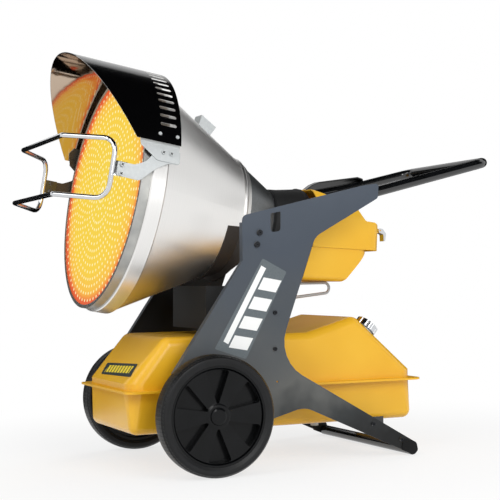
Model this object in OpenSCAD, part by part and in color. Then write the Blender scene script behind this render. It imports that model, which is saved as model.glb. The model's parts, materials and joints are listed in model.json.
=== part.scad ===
// Wheeled oil-fired infrared heater, in millimetres.
// X runs across the heater, Y from the radiant disc to the push handle, Z up.
// The origin is the middle of the ground footprint.
// The chassis is drawn square to its own datum and leans back until the foot bar stands on the ground.

/* [Wheels] */
// Outer diameter of the tyres
wheel_d = 300; // [290:5:310]
// Width of a tyre
tyre_w = 58; // [50:2:64]
// Distance between the middle planes of the two tyres
wheel_track = 601; // [590:1:612]
// Diameter of the rim that carries the tyre
rim_d = 252; // [240:4:260]
// Number of spokes in a wheel
spokes = 6; // [5:1:8]
// Diameter of the stub axles
axle_d = 20; // [16:1:24]
// Wall of the sleeve that the wheel turns on
sleeve_t = 4; // [3:0.5:6]
// Diameter of the hub cap
hub_cap_d = 43; // [40:1:48]

/* [Frame] */
// Width over the outer faces of the two side plates
frame_w = 512; // [500:2:516]
// Thickness of a side plate
plate_t = 3; // [2:0.5:4]
// Depth of the flange folded in along the front edges of a plate
flange_w = 16; // [10:1:20]
// Diameter of the foot bar
foot_d = 28; // [22:1:32]
// Diameter of the handle tube
handle_d = 27; // [22:1:32]
// Distance between the handle tubes at their rear bends
handle_w = 416; // [360:4:440]
// Height of the rear bar of the handle over the chassis datum
handle_z = 813; // [780:1:850]
// Distance of the rear bar of the handle behind the axle
handle_y = 861; // [820:1:900]

/* [Head] */
// Diameter of the radiant disc
disc_d = 600; // [580:2:610]
// Angle by which the head looks up
head_tilt = 9.2; // [6:0.2:12]
// Height of the disc centre over the chassis datum
head_z = 712; // [704:1:724]
// Distance of the disc centre in front of the axle
head_y = 195.5; // [190:0.5:202]
// Depth of the rim ring
ring_w = 24; // [18:1:30]
// Depth of the head band behind the rim ring
band_w = 41; // [34:1:48]
// Wall of the sheet metal in the head
sheet_t = 1.5; // [1:0.25:2]
// Diameter of the rear end of the front cone
neck_d = 311; // [300:1:320]
// Diameter of the rear end of the rear cone
tail_d = 180; // [170:1:190]

/* [Hood and guard] */
// Inner radius of the hood
hood_r = 327; // [322:1:332]
// Angle of the lower edges of the hood over the sides of the head
hood_edge = 18.8; // [16:0.2:22]
// Number of vent slots in the hood
hood_slots = 28; // [16:1:32]
// Length of a vent slot
slot_l = 42; // [30:1:48]
// Width of a vent slot
slot_w = 9; // [6:0.5:10]
// Diameter of the guard rod
guard_d = 12.5; // [10:0.5:14]
// Height of the guard between its upper and lower rods
guard_h = 145; // [130:1:156]

/* [Fuel tank] */
// Width of the tank body
tank_w = 344; // [330:2:356]
// Height of the tank bottom over the chassis datum
tank_bottom = 96; // [92:1:102]
// Height of the weld seam of the tank over its bottom
seam_h = 108.5; // [100:0.5:116]
// Height of the front part of the tank top over the seam
tank_top_h = 133.5; // [126:0.5:136]
// Height of the raised rear part of the tank top over the front part
hump_h = 37.5; // [20:0.5:42]
// Wall of the tank shells
tank_t = 2.5; // [1.5:0.25:3]
// Diameter of the fuel cap
cap_d = 64; // [56:1:72]
// Height of the fuel cap
cap_h = 18; // [14:1:24]

/* [Burner and covers] */
// Width of the burner covers
cover_w = 250; // [244:2:270]
// Wall of the burner covers
cover_t = 2.5; // [2:0.25:3]
// Diameter of the fan housing at its rear end
fan_case_d = 220; // [210:1:224]
// Diameter of the fan wheel
fan_d = 168; // [150:2:172]
// Number of fan blades
fan_blades = 20; // [12:1:28]
// Diameter of the fan motor
motor_d = 104; // [92:2:110]

/* [Controls] */
// Width of the control box
box_w = 240; // [220:4:260]
// Depth of the control box
box_d = 140; // [120:2:150]
// Height of the control box
box_h = 112; // [100:1:116]
// Diameter of the thermostat knob
knob_d = 38; // [30:1:44]

/* [Hidden] */
$fn = 64;

// Clearances
slip = 0.3; // [0.3]
run = 0.06; // [0.06] radial clearance of a running fit
seat = 0.3; // [0.3]
touch = 0.02; // [0.02]

// Colours
SLATE = "#4f5660";
BLACK = "#17181a";
RUBBER = "#26282b";
YELLOW = "#e8b02a";
STEEL = "#b9bbbd";
CHROME = "#d8dadc";
GLOW = "#f8b428";

// Chassis datum and lean
datum = 150; // the datum lies this far below the axle
wheel_r = wheel_d / 2;
foot_y = 587; // foot bar behind the axle
foot_z = 32; // foot bar over the datum
foot_reach = norm([foot_y, foot_z - datum]);
lean = asin((foot_d / 2 - wheel_r) / foot_reach) - atan2(foot_z - datum, foot_y);

// Y of a chassis point after the lean
function world_y(y, z) = y * cos(lean) - (z - datum) * sin(lean);

plate_x = frame_w / 2 - plate_t; // inner face of a side plate
wheel_in = (wheel_track - tyre_w) / 2;
wheel_out = (wheel_track + tyre_w) / 2;

// Head stations are measured back from the disc along the head axis
disc_r = disc_d / 2;
rim_r = disc_r + 7;
band_r = rim_r + 5;
ring_end = ring_w;
band_end = ring_end + band_w;
neck_r = neck_d / 2;
neck_s = 340; // rear end of the front cone
bead_end = 363; // rear end of the clamp bead
tail_r = tail_d / 2;
tail_s = 460; // rear end of the rear cone
cone_slope = atan2(rim_r - neck_r, neck_s - band_end);
function cone_r(s) = rim_r - (s - band_end) * tan(cone_slope);

// Guard, in head stations
guard_r = guard_d / 2;
guard_v = 19.5; // middle of the guard over the head axis
guard_front_s = -177;
guard_front_x = 193;
guard_bar_s = -77;
guard_bar_x = band_r - 1;
guard_top = guard_v + guard_h / 2;
guard_low = guard_v - guard_h / 2;

// Overall length, from the lower guard rod to the rear bar of the handle
function head_y_of(s, v) = -head_y + s * cos(head_tilt) + v * sin(head_tilt);
function head_z_of(s, v) = head_z - s * sin(head_tilt) + v * cos(head_tilt);
front_y = world_y(head_y_of(guard_front_s, guard_low), head_z_of(guard_front_s, guard_low)) - guard_r;
rear_y = world_y(handle_y, handle_z) + handle_d / 2;
shift_y = -(front_y + rear_y) / 2;

// Tank heights over the datum, before the tank's own pitch
tank_pitch = 0.9;
tank_seam = tank_bottom + seam_h;
tank_top = tank_seam + tank_top_h;
hump_top = tank_top + hump_h;
tank_front = -176;
tank_back = 645;
tank_corner = 45;
lip_t = 2.5;
lip_side = 28;
lip_front = 16;
lip_back = 12;
edge_r = 28;
hump_y = 464.5; // centre of the rounded crest
nose_y = -62.4; // centre of the rounded front of the top
front_edge_z = tank_seam + 19.5; // top of the upright front face
rear_edge_z = tank_seam + 23.7; // top of the upright rear face

// Filler on the rear slope of the tank
crest_z = hump_top - edge_r;
slope_a = atan2(crest_z - rear_edge_z, tank_back - hump_y)
  + asin(edge_r / norm([tank_back - hump_y, crest_z - rear_edge_z]));
cap_x = 116;
cap_at = 49; // filler centre down the slope from its top
cap_y = hump_y + edge_r * sin(slope_a) + cap_at * cos(slope_a);
cap_z = crest_z + edge_r * cos(slope_a) - cap_at * sin(slope_a);
neck_out = cap_d / 2 - 8;
neck_up = 8;

// Burner, in head stations
case_front = tail_s + 0.5;
case_end = 566; // rear plate of the fan housing
case_r = fan_case_d / 2;
case_t = 2.5;
shaft_d = 12;
motor_len = 78;
pump_len = 40;
coupling_end = case_end + motor_len + 18;

// Covers, in a frame that starts at the seam behind the fan housing
cover_y = 372;
cover_z = 571;
cover_pitch = 2.5;
cover_rear = 198;
roof_fall = 0.416; // fall of the roof per millimetre
skew = head_tilt - cover_pitch;
cover_gap = 0.8;
// Station and height in the head of a point of the cover frame, and the reverse
cover_s = (cover_y + head_y) * cos(head_tilt) - (cover_z - head_z) * sin(head_tilt);
cover_v = (cover_y + head_y) * sin(head_tilt) + (cover_z - head_z) * cos(head_tilt);
function cover_point(s, v) =
  [(s - cover_s) * cos(skew) + (v - cover_v) * sin(skew), -(s - cover_s) * sin(skew) + (v - cover_v) * cos(skew)];
// Front edge of the covers at height w, just behind the fan housing
function seam_u(w) = (case_end + cover_gap - cover_s + w * sin(skew)) / cos(skew);
function roof_w(u) = 161.6 - u * roof_fall;
hinge_at = cover_point(case_end + cover_gap - 0.2, case_r + 0.5);
hinge_d = 3;
knuckle_r = 2.7;
knuckle_x = 12;
hinge_x = 27;
latch_x = 85;
latch_w = 22;
latch_pin = 4;
latch_pivot_w = 58;
latch_pivot_u = cover_rear + 9;

// Control box, in chassis heights
box_z = tank_top + 16;
box_y = 48;
box_rear = box_y + box_d;
panel_z = box_z + box_h * 0.58;
switch_x = -70;
rocker_w = 19;
knob_x = -10;
lamp_x = 35;
inlet_x = 82;

// Screws
m8 = 8;
plate_screw_at = [[138, 601], [131, 571], [181, 399], [181, 307]];

// Push handle
handle_start_y = 330;
handle_root_x = plate_x - handle_d / 2 - touch;
handle_slope = (handle_z - 719.5) / (handle_y - 499);
handle_start_z = 719.5 + (handle_start_y - 499) * handle_slope;

// Fillets a closed outline: each point is [x, y, radius]
function unit(v) = v / norm(v);
function fillet(a, b, c, r, n) =
  let (u = unit(a - b), w = unit(c - b), half = acos(u * w) / 2, m = unit(u + w),
       centre = b + m * (r / sin(half)), s = b + u * (r / tan(half)) - centre,
       turn = (u.x * w.y - u.y * w.x > 0 ? -1 : 1) * (180 - 2 * half))
  [for (k = [0:n]) let (q = turn * k / n) centre + [s.x * cos(q) - s.y * sin(q), s.x * sin(q) + s.y * cos(q)]];
function flat(p) = [p.x, p.y];
function rounded(p, n = 6) =
  let (c = len(p))
  [for (i = [0:c - 1]) each (len(p[i]) < 3
    ? [flat(p[i])]
    : fillet(flat(p[(i + c - 1) % c]), flat(p[i]), flat(p[(i + 1) % c]), p[i][2], n))];

// Rounds the corners of a route in space: each point is [x, y, z, radius]
function dot3(p) = [p[0], p[1], p[2]];
function bend(a, b, c, r, n) =
  let (u = unit(a - b), w = unit(c - b), half = acos(u * w) / 2, m = unit(u + w),
       centre = b + m * (r / sin(half)), s = b + u * (r / tan(half)) - centre,
       side = unit(cross(cross(u, w), s)) * (cross(cross(u, w), s) * u > 0 ? -1 : 1) * norm(s))
  [for (k = [0:n]) let (q = (180 - 2 * half) * k / n) centre + s * cos(q) + side * sin(q)];
function route(p, n = 6) =
  let (c = len(p))
  [for (i = [0:c - 1]) each (len(p[i]) < 4 || i == 0 || i == c - 1
    ? [dot3(p[i])]
    : bend(dot3(p[i - 1]), dot3(p[i]), dot3(p[i + 1]), p[i][3], n))];
function loop(p, n = 6) =
  let (c = len(p))
  [for (i = [0:c - 1]) each bend(dot3(p[(i + c - 1) % c]), dot3(p[i]), dot3(p[(i + 1) % c]), p[i][3], n)];

// Sweeps a round section along points; up is never along the route, a closed route joins its ends
module swept(p, r, sides, up, closed = false) {
  c = len(p);
  ahead = [for (i = [0:c - 1]) closed ? unit(p[(i + 1) % c] - p[(i + c - 1) % c])
    : unit(p[min(i + 1, c - 1)] - p[max(i - 1, 0)])];
  ring = [for (i = [0:c - 1])
    let (t = ahead[i], e = unit(cross(up, t)), f = cross(t, e))
    for (k = [0:sides - 1]) p[i] + r * (e * cos(360 * k / sides) + f * sin(360 * k / sides))];
  spans = closed ? c : c - 1;
  skin = [for (i = [0:spans - 1], k = [0:sides - 1])
    let (a = i * sides, b = ((i + 1) % c) * sides, j = (k + 1) % sides)
    each [[a + k, b + k, b + j], [a + k, b + j, a + j]]];
  ends = closed ? [] : [[for (k = [0:sides - 1]) k], [for (k = [sides - 1:-1:0]) (c - 1) * sides + k]];
  polyhedron(points = ring, faces = concat(skin, ends));
}

// Frames of reference
module world() translate([0, shift_y, wheel_r]) children();
module chassis() world() rotate([lean, 0, 0]) translate([0, 0, -datum]) children();
module head() chassis() translate([0, -head_y, head_z]) rotate([-head_tilt, 0, 0]) children();
module tank() chassis() rotate([tank_pitch, 0, 0]) children();
module covers() chassis() translate([0, cover_y, cover_z]) rotate([-cover_pitch, 0, 0]) children();
module filler() tank() translate([cap_x, cap_y, cap_z]) rotate([-slope_a, 0, 0]) children();

// Spins a [radius, station] profile round the Y axis
module spun(angle = 360) mirror([0, 1, 0]) rotate([90, 0, 0]) rotate_extrude(angle = angle) children();
module rod(d, from, to) translate([0, from, 0]) rotate([-90, 0, 0]) cylinder(d = d, h = to - from);
module across(d, from, to) translate([from, 0, 0]) rotate([0, 90, 0]) cylinder(d = d, h = to - from);
// Extrudes a [y, z] outline along X
module side_on(from, to) translate([from, 0, 0]) rotate([90, 0, 90]) linear_extrude(to - from) children();
// Extrudes an [x, z] outline along Y
module end_on(from, to) translate([0, to, 0]) rotate([90, 0, 0]) linear_extrude(to - from) children();
module mirrored() { children(); mirror([1, 0, 0]) children(); }

// Side plate outline, [y, z, corner radius] from the front corner round the rear
PLATE = [
  [91, 643, 16], [440, 730, 60], [484, 737, 8], [482, 698, 12], [296, 593, 46], [186, 278.5, 98],
  [594, 52, 10], [602, 30, 10], [582, 24, 8], [548, 36], [265, 157, 70], [45, 92, 60], [-70, 92, 60],
  [-110, 224, 50], [92, 529, 8]];
FRONT_EDGE = [[91, 626], [92, 530.5], [91, 526.5], [-92, 251.5]];

module plate_holes() {
  for (p = concat(plate_screw_at, [[465, 105], [550, 61]])) translate(p) circle(d = m8 + 0.4);
  translate([188, 224]) circle(d = 5);
  translate([0, datum]) circle(d = axle_d + 0.4);
  polygon(rounded([[169, 650, 2], [198, 656, 2], [198, 606, 9], [169, 602, 9]], 4));
}

module side_plate() {
  color(SLATE) {
    side_on(plate_x, plate_x + plate_t) difference() {
      polygon(rounded(PLATE));
      plate_holes();
    }
    side_on(plate_x - flange_w, plate_x)
      polygon(concat(FRONT_EDGE, [for (k = [3:-1:0]) FRONT_EDGE[k] + [2.6, k > 1 ? -1.7 : 0]]));
  }
}

module side_plate_left() chassis() side_plate();
module side_plate_right() chassis() mirror([1, 0, 0]) side_plate();

module foot_bar() {
  color(BLACK) chassis() translate([0, foot_y, foot_z]) difference() {
    across(foot_d, -plate_x + touch, plate_x - touch);
    across(foot_d - 5, -plate_x, plate_x);
  }
}

// Moulded cap closed round the tip of each leg, with a slot for the plate
module foot_caps() {
  half = foot_d / 2;
  color(BLACK) chassis() mirrored() difference() {
    side_on(plate_x + touch, plate_x + plate_t + 3)
      polygon(rounded([[556, 63, 2], [596, 52.5, 12], [foot_y + half, foot_z - 2, 10],
        [foot_y + 2, foot_z - half, 10], [552, 32, 2]]));
    side_on(plate_x - 1, plate_x + plate_t + 0.1)
      polygon([[540, 90], [595.5, 59], [601, 48], [605, 28], [596, 20], [582, 21], [545, 34]]);
  }
}

HANDLE = [
  [handle_root_x, handle_start_y, handle_start_z],
  [handle_root_x, 500, 719.5 + handle_slope, 200],
  [handle_w / 2, handle_y, handle_z, 42],
  [-handle_w / 2, handle_y, handle_z, 42],
  [-handle_root_x, 500, 719.5 + handle_slope, 200],
  [-handle_root_x, handle_start_y, handle_start_z]];

module handle() color(BLACK) chassis() swept(route(HANDLE, 5), handle_d / 2, 16, [0, 0, 1]);

// Saddle that hooks over the right handle tube and holds a coiled mains lead
hook_l = 204;
module cord_hook() {
  top = handle_d / 2 + 17;
  taper = atan2(handle_root_x - handle_w / 2, handle_y - 500);
  rise = atan2(handle_z - 719.5 - handle_slope, norm([handle_root_x - handle_w / 2, handle_y - 500]));
  color(BLACK) chassis() translate([-handle_root_x, 500, 719.5 + handle_slope]) rotate([0, 0, -taper])
    rotate([rise, 0, 0]) difference() {
      side_on(-16, 16) polygon(rounded([[8, 1, 2], [36, top - 3, 14], [hook_l - 18, top, 16],
        [hook_l + 2, handle_d / 2 + 4, 10], [hook_l, 1, 3]]));
      side_on(-17, 11) polygon(rounded([[44, -20], [52, handle_d / 2 + 12, 6], [170, handle_d / 2 + 14, 8],
        [174, -20]]));
      translate([0, 0, 0]) rod(handle_d + 3 * slip, 0, hook_l + 10);
    }
}

module socket_screw(d, head, grip) {
  difference() {
    union() {
      across(d, -grip, touch);
      across(head, 0, d * 0.6);
    }
    translate([d * 0.3, 0, 0]) rotate([0, 90, 0]) cylinder(d = d * 0.7, h = d, $fn = 6);
  }
}

module plate_screws() {
  color("#30343a") chassis() mirrored() for (p = concat(plate_screw_at, [[465, 105], [550, 61]]))
    translate([plate_x + plate_t, p.x, p.y])
      socket_screw(m8, p.y > 560 ? 15 : 10, plate_t + 6);
}

// Rails that carry the tank between the plates
module rail(from, to, rise) {
  side = plate_x - touch;
  end_on(from, to) polygon([[-side, tank_bottom - touch], [-side, tank_bottom + rise],
    [-side + 3, tank_bottom + rise], [-side + 3, tank_bottom - touch], [side - 3, tank_bottom - touch],
    [side - 3, tank_bottom + rise], [side, tank_bottom + rise], [side, tank_bottom - 3],
    [-side, tank_bottom - 3]]);
}

module tank_rails() {
  color(BLACK) difference() {
    union() {
      tank() rail(20, 60, 34);
      tank() rail(448, 500, 20);
    }
    chassis() mirrored() translate([0, 465, 105]) across(m8 + 0.6, plate_x - 10, plate_x + 5);
  }
}

// Stub axle with an inner flange and a retaining ring near its tip
module stub_axle() {
  tip = wheel_out - 9;
  across(axle_d, plate_x - 10, tip);
  across(axle_d + 24, plate_x - 10, plate_x - touch);
  difference() {
    across(axle_d + 2 * sleeve_t + 6, tip - 3.7, tip - 1.7);
    across(axle_d - 1, tip - 5, tip);
  }
}
module stub_axles() color(STEEL) chassis() translate([0, 0, datum]) mirrored() stub_axle();

sleeve_out = wheel_out - 13.3;
module axle_sleeves() {
  color("#8d8f92") chassis() translate([0, 0, datum]) mirrored() difference() {
    union() {
      across(axle_d + 2 * sleeve_t, plate_x + plate_t + touch, sleeve_out);
      across(axle_d + 20, plate_x + plate_t + touch, wheel_in - 1);
    }
    across(axle_d + touch, plate_x, wheel_out);
  }
}

// Wheel, drawn on its own middle plane with its outer face toward +X
hub_r = 27;
well_r = rim_d / 2 - 12;
face_x = tyre_w / 2 - 8;
module wheel_pocket() {
  half = 16;
  rotate([90, 0, 90]) linear_extrude(face_x + 10) polygon(rounded([
    [hub_r + 4, -2.5, 2], [well_r * cos(half), -well_r * sin(half), 5], [well_r + 1, 0, 90],
    [well_r * cos(half), well_r * sin(half), 5], [hub_r + 4, 2.5, 2]], 4));
}
module wheel() {
  rim_r = rim_d / 2;
  bore = axle_d + 2 * sleeve_t + 2 * run;
  color(BLACK) difference() {
    rotate([0, 90, 0]) rotate_extrude() polygon([
      [0, -tyre_w / 2 + 9], [hub_r, -tyre_w / 2 + 9], [hub_r + 2, -6], [rim_r - 12, -6],
      [rim_r - 10, -tyre_w / 2 + 6], [rim_r - 3, -tyre_w / 2 + 5], [rim_r - 3, -tyre_w / 2 + 14], [rim_r, -12],
      [rim_r, 12], [rim_r - 3, tyre_w / 2 - 14], [rim_r - 3, tyre_w / 2 - 5], [rim_r - 8, tyre_w / 2 - 5],
      [rim_r - 9, face_x - 2], [rim_r - 12, face_x], [hub_r + 6, face_x - 3], [hub_r, face_x], [0, face_x]]);
    for (k = [0:spokes - 1]) rotate([k * 360 / spokes + 90, 0, 0]) translate([-1, 0, 0]) wheel_pocket();
    across(bore, -tyre_w, tyre_w);
    across(hub_cap_d + 2 * slip, sleeve_out - wheel_track / 2 + 0.3, tyre_w);
  }
}
module tyre() {
  rim_r = rim_d / 2;
  half = tyre_w / 2;
  color(RUBBER) rotate([0, 90, 0]) rotate_extrude() polygon(rounded([
    [rim_r - 3 + touch, -half + 5, 1], [rim_r + 6, -half + 1, 3], [wheel_r - 8, -half, 6], [wheel_r - 1, -half + 10, 4],
    [wheel_r, -6], [wheel_r, 6], [wheel_r - 1, half - 10, 4], [wheel_r - 8, half, 6], [rim_r + 6, half - 1, 3],
    [rim_r - 3 + touch, half - 5, 1], [rim_r - 3 + touch, half - 14 - touch], [rim_r + touch, 12],
    [rim_r + touch, -12], [rim_r - 3 + touch, -half + 14 + touch]], 3));
}
// Shallow domed cap that covers the end of the axle
module hub_cap() {
  r = hub_cap_d / 2;
  base = sleeve_out - wheel_track / 2 + 0.4;
  color(BLACK) rotate([0, 90, 0]) rotate_extrude() polygon([
    [0, face_x + 5], [r - 5, face_x + 5], [r - 1, face_x + 3], [r - slip, face_x], [r - slip, base],
    [r - 3, base], [r - 3, face_x], [r - 5, face_x + 2], [0, face_x + 2]]);
}

module on_left_wheel() world() translate([wheel_track / 2, 0, 0]) children();
module on_right_wheel() world() mirror([1, 0, 0]) translate([wheel_track / 2, 0, 0]) children();
module wheel_left() on_left_wheel() wheel();
module tyre_left() on_left_wheel() tyre();
module hub_cap_left() on_left_wheel() hub_cap();
module wheel_right() on_right_wheel() wheel();
module tyre_right() on_right_wheel() tyre();
module hub_cap_right() on_right_wheel() hub_cap();

// Tank shells: rounded bodies with a flat weld lip round the seam
module slab(inset, z, t) {
  r = tank_corner - inset;
  translate([0, 0, z]) linear_extrude(t) polygon(rounded([
    [tank_w / 2 - inset, tank_front + inset, r], [tank_w / 2 - inset, tank_back - inset, r],
    [-tank_w / 2 + inset, tank_back - inset, r], [-tank_w / 2 + inset, tank_front + inset, r]], 6));
}
module balls(inset, r, y, z) {
  x = tank_w / 2 - r;
  for (s = [-1, 1]) translate([s * x, y, z - r]) sphere(r = r - inset, $fn = 24);
}
module tank_upper_body(inset) {
  hull() {
    slab(inset, tank_seam, front_edge_z - tank_seam);
    balls(inset, edge_r, nose_y, tank_top);
    balls(inset, edge_r, hump_y + 20, tank_top);
  }
  hull() {
    balls(inset, edge_r, 330, tank_top);
    balls(inset, edge_r, hump_y, hump_top);
    for (s = [-1, 1]) translate([s * (tank_w / 2 - tank_corner), tank_back - tank_corner, tank_seam])
      cylinder(r = tank_corner - inset, h = rear_edge_z - tank_seam, $fn = 32);
  }
}
module weld_lip(z) {
  w = tank_w / 2 + lip_side;
  translate([0, 0, z]) linear_extrude(lip_t) difference() {
    polygon(rounded([[w, tank_front - lip_front, 26], [w, tank_back + lip_back, 26],
      [-w, tank_back + lip_back, 26], [-w, tank_front - lip_front, 26]], 6));
    polygon(rounded([[tank_w / 2 - 6, tank_front + 6, 40], [tank_w / 2 - 6, tank_back - 6, 40],
      [-tank_w / 2 + 6, tank_back - 6, 40], [-tank_w / 2 + 6, tank_front + 6, 40]], 6));
  }
}
module gauge_place() translate([0, 120, tank_top]) children();
module suction_place() translate([50, 255, tank_top]) children();
module drain_place() translate([40, 405, tank_bottom]) children();

module tank_upper() {
  color(YELLOW) {
    tank() difference() {
      tank_upper_body(0);
      tank_upper_body(tank_t);
      translate([0, 0, tank_seam - 50]) cube([2 * tank_w, 3 * tank_back, 100 + 2 * touch], center = true);
      gauge_place() translate([0, 0, -20]) cylinder(d = 36, h = 40);
      suction_place() translate([0, 0, -20]) cylinder(d = 24, h = 40);
      translate([cap_x, cap_y, cap_z]) rotate([-slope_a, 0, 0]) translate([0, 0, -30])
        cylinder(r = neck_out, h = 60);
    }
    tank() weld_lip(tank_seam + touch);
  }
}
module tank_lower_body(inset) {
  round = 22;
  hull() {
    slab(inset, tank_seam - 3, 3);
    for (s = [-1, 1], y = [tank_front + round + 6, tank_back - round - 4])
      translate([s * (tank_w / 2 - round - 4), y, tank_bottom + round]) sphere(r = round - inset, $fn = 24);
  }
}
module tank_lower() {
  color(YELLOW) tank() {
    difference() {
      tank_lower_body(0);
      tank_lower_body(tank_t);
      slab(tank_t, tank_seam - 4, 8);
      drain_place() translate([0, 0, -5]) cylinder(d = 20, h = 20);
    }
    weld_lip(tank_seam - lip_t - touch);
  }
}

// Filler neck seated in the rear slope, with two bayonet lugs
module filler_neck() {
  color(STEEL) filler() {
    difference() {
      translate([0, 0, -16]) cylinder(r = neck_out - touch, h = 16 + neck_up);
      translate([0, 0, -17]) cylinder(r = neck_out - 3, h = 40);
    }
    difference() {
      translate([0, 0, touch]) cylinder(r = neck_out + 5, h = 2);
      translate([0, 0, -1]) cylinder(r = neck_out - 1, h = 5);
    }
  }
}
module fuel_cap() {
  grips = 12;
  color(CHROME) filler() translate([0, 0, neck_up + seat]) {
    difference() {
      translate([0, 0, -3]) cylinder(d = cap_d, h = cap_h);
      translate([0, 0, -4]) cylinder(r = neck_out + 0.6, h = 4);
      translate([0, 0, cap_h - 6]) difference() {
        cylinder(d = cap_d - 12, h = 10);
        translate([-cap_d / 2, -6, -1]) cube([cap_d, 12, 12]);
      }
      for (k = [0:grips - 1]) rotate([0, 0, k * 360 / grips])
        translate([cap_d / 2 + 2.2, 0, -5]) cylinder(d = 8, h = cap_h + 10, $fn = 24);
    }
  }
}
// Float gauge: a lens on a flanged body, with its arm and float inside the tank
module fuel_gauge() {
  color(BLACK) tank() gauge_place() {
    translate([0, 0, touch]) cylinder(d = 52, h = 4);
    translate([0, 0, -12]) cylinder(d = 36 - 2 * slip, h = 12 + 2 * touch);
    translate([0, 0, 3]) cylinder(d1 = 44, d2 = 38, h = 6);
    translate([-3, 0, -100]) cube([6, 3, 95]);
    translate([-18, 4, -112]) rotate([-90, 0, 0]) cylinder(d = 40, h = 60);
    translate([-3, 0, -115]) cube([6, 8, 18]);
  }
}
module suction_pipe() {
  depth = tank_top - tank_bottom - 18;
  color(STEEL) tank() suction_place() {
    translate([0, 0, touch]) cylinder(d = 34, h = 4);
    translate([0, 0, -tank_t]) cylinder(d = 24 - 2 * slip, h = tank_t + 2 * touch);
    translate([0, 0, 3]) cylinder(d = 18, h = 9, $fn = 6);
    translate([0, 0, 11]) cylinder(d = 10, h = 8);
    translate([0, 0, -depth]) cylinder(d = 8, h = depth);
    translate([0, 0, -depth - 4]) cylinder(d = 26, h = 30);
  }
}
module drain_plug() {
  color("#6a6c6e") tank() drain_place() {
    translate([0, 0, -3 - touch]) cylinder(d = 30, h = 3);
    translate([0, 0, -3 - touch]) cylinder(d = 20 - 2 * slip, h = 12);
    translate([0, 0, -20]) cylinder(d = 22, h = 17.5, $fn = 6);
  }
}

// Fuel filter under the fan housing, with its outlet toward the rear
filter_x = 50;
filter_y = 282;
filter_z = 473;
module fuel_filter() {
  color("#c8a24a") difference() {
    chassis() translate([filter_x, filter_y, filter_z]) {
      rod(30, 0, 44);
      rod(20, -8, 1);
      rod(12, 43, 56);
      translate([0, 22, 0]) cylinder(d = 14, h = 64);
    }
    head() spun() polygon([[0, 470], [case_r - 11.6, case_front + 26], [case_r + 1.3, case_front + 86],
      [case_r + 1.3, 600], [0, 600]]);
  }
}
HOSE = [
  [filter_x, filter_y + 56 + touch, filter_z], [filter_x, 450, filter_z + 2, 14],
  [filter_x, 440, filter_z - 26, 12], [filter_x, 340, filter_z - 38, 60], [filter_x, 251, filter_z - 66, 30]];
hose_end = suction_end();
function suction_end() =
  let (y = 255, z = tank_top + 19)
  [50, y * cos(tank_pitch) - z * sin(tank_pitch), y * sin(tank_pitch) + z * cos(tank_pitch) + 0.2];
module fuel_hose() {
  color("#8f9396") chassis()
    swept(route(concat(HOSE, [hose_end]), 5), 4, 8, [1, 0, 0]);
}

// Head, front to rear
module radiant_disc() {
  color(GLOW) head() difference() {
    spun() polygon([[0, 1], [disc_r * 0.5, 1.8], [disc_r + 2.5, 4 - touch], [disc_r + 2.5, 6],
      [disc_r * 0.5, 3.8], [0, 3]]);
  }
}
module rim_ring() {
  color("#5d6064") head() spun() polygon([
    [disc_r - 2, 0], [rim_r, 0], [rim_r, ring_end - touch], [rim_r - 4, ring_end - touch],
    [rim_r - 4, 2], [disc_r - 2, 2]]);
}
module head_band() {
  color("#dcdcdc") head() spun() polygon([
    [rim_r - 8, ring_end], [band_r - 2, ring_end], [band_r, ring_end + 3], [band_r, band_end - 4],
    [rim_r, band_end - touch], [rim_r - 10, band_end - touch], [rim_r - 10, band_end - 2],
    [band_r - 2, band_end - 6], [band_r - 2, ring_end + 4], [rim_r - 8, ring_end + 2]]);
}
module front_cone() {
  color(STEEL) head() spun() polygon([
    [rim_r, band_end], [neck_r, neck_s], [neck_r - sheet_t * 1.15, neck_s],
    [cone_r(band_end + 2) - sheet_t * 1.15, band_end + 2], [rim_r - 12, band_end + 2], [rim_r - 12, band_end]]);
}
module clamp_bead() {
  color(STEEL) head() spun() polygon(rounded([
    [neck_r - 13, neck_s + touch], [neck_r + 2, neck_s + touch, 2], [neck_r + 3, neck_s + 6, 3],
    [neck_r - 2, neck_s + 12, 3], [neck_r - 9, bead_end - touch], [neck_r - 13, bead_end - touch]], 3));
}
module rear_cone() {
  wall = 2;
  bore = tail_r - 36;
  color(STEEL) head() spun() polygon([
    [neck_r - 12, bead_end], [tail_r, tail_s], [bore, tail_s], [bore, tail_s - wall],
    [tail_r - wall, tail_s - wall], [neck_r - 12 - wall, bead_end + wall], [neck_r - 16, bead_end + wall],
    [neck_r - 16, bead_end]]);
}
chamber_end = 440;
chamber_r = 60;
liner_gap = 14;
module inner_chamber() {
  bend_r = cone_r(band_end + 4) - liner_gap;
  throat_r = neck_r - liner_gap;
  color("#9a9085") head() spun() polygon([
    [disc_r - 6, 7], [bend_r, band_end + 4], [throat_r, neck_s], [chamber_r, chamber_end],
    [chamber_r - sheet_t, chamber_end], [throat_r - sheet_t, neck_s], [bend_r - sheet_t, band_end + 4],
    [disc_r - 6 - sheet_t, 7]]);
}
module insulation() {
  color("#d9d4c4") head() spun() polygon([
    for (p = [[band_end + 5, 2.3], [neck_s - 4, 2.3], [neck_s - 4, liner_gap - 0.4],
      [band_end + 5, liner_gap - 0.4]]) [cone_r(p.x) - p.y, p.x]]);
}

// Small sheet metal box for the overheat sensor, on top of the cone
module sensor_box() {
  len = 52;
  tall = 32;
  color(STEEL) head() translate([0, 218, cone_r(218) + 2]) rotate([-cone_slope, 0, 0]) {
    side_on(-24, 24) polygon([[12, -1.6], [0, tall], [len, tall], [len, -1.6]]);
    translate([-30, 14, -1.8]) cube([60, 32, 1.8]);
  }
}

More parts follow.
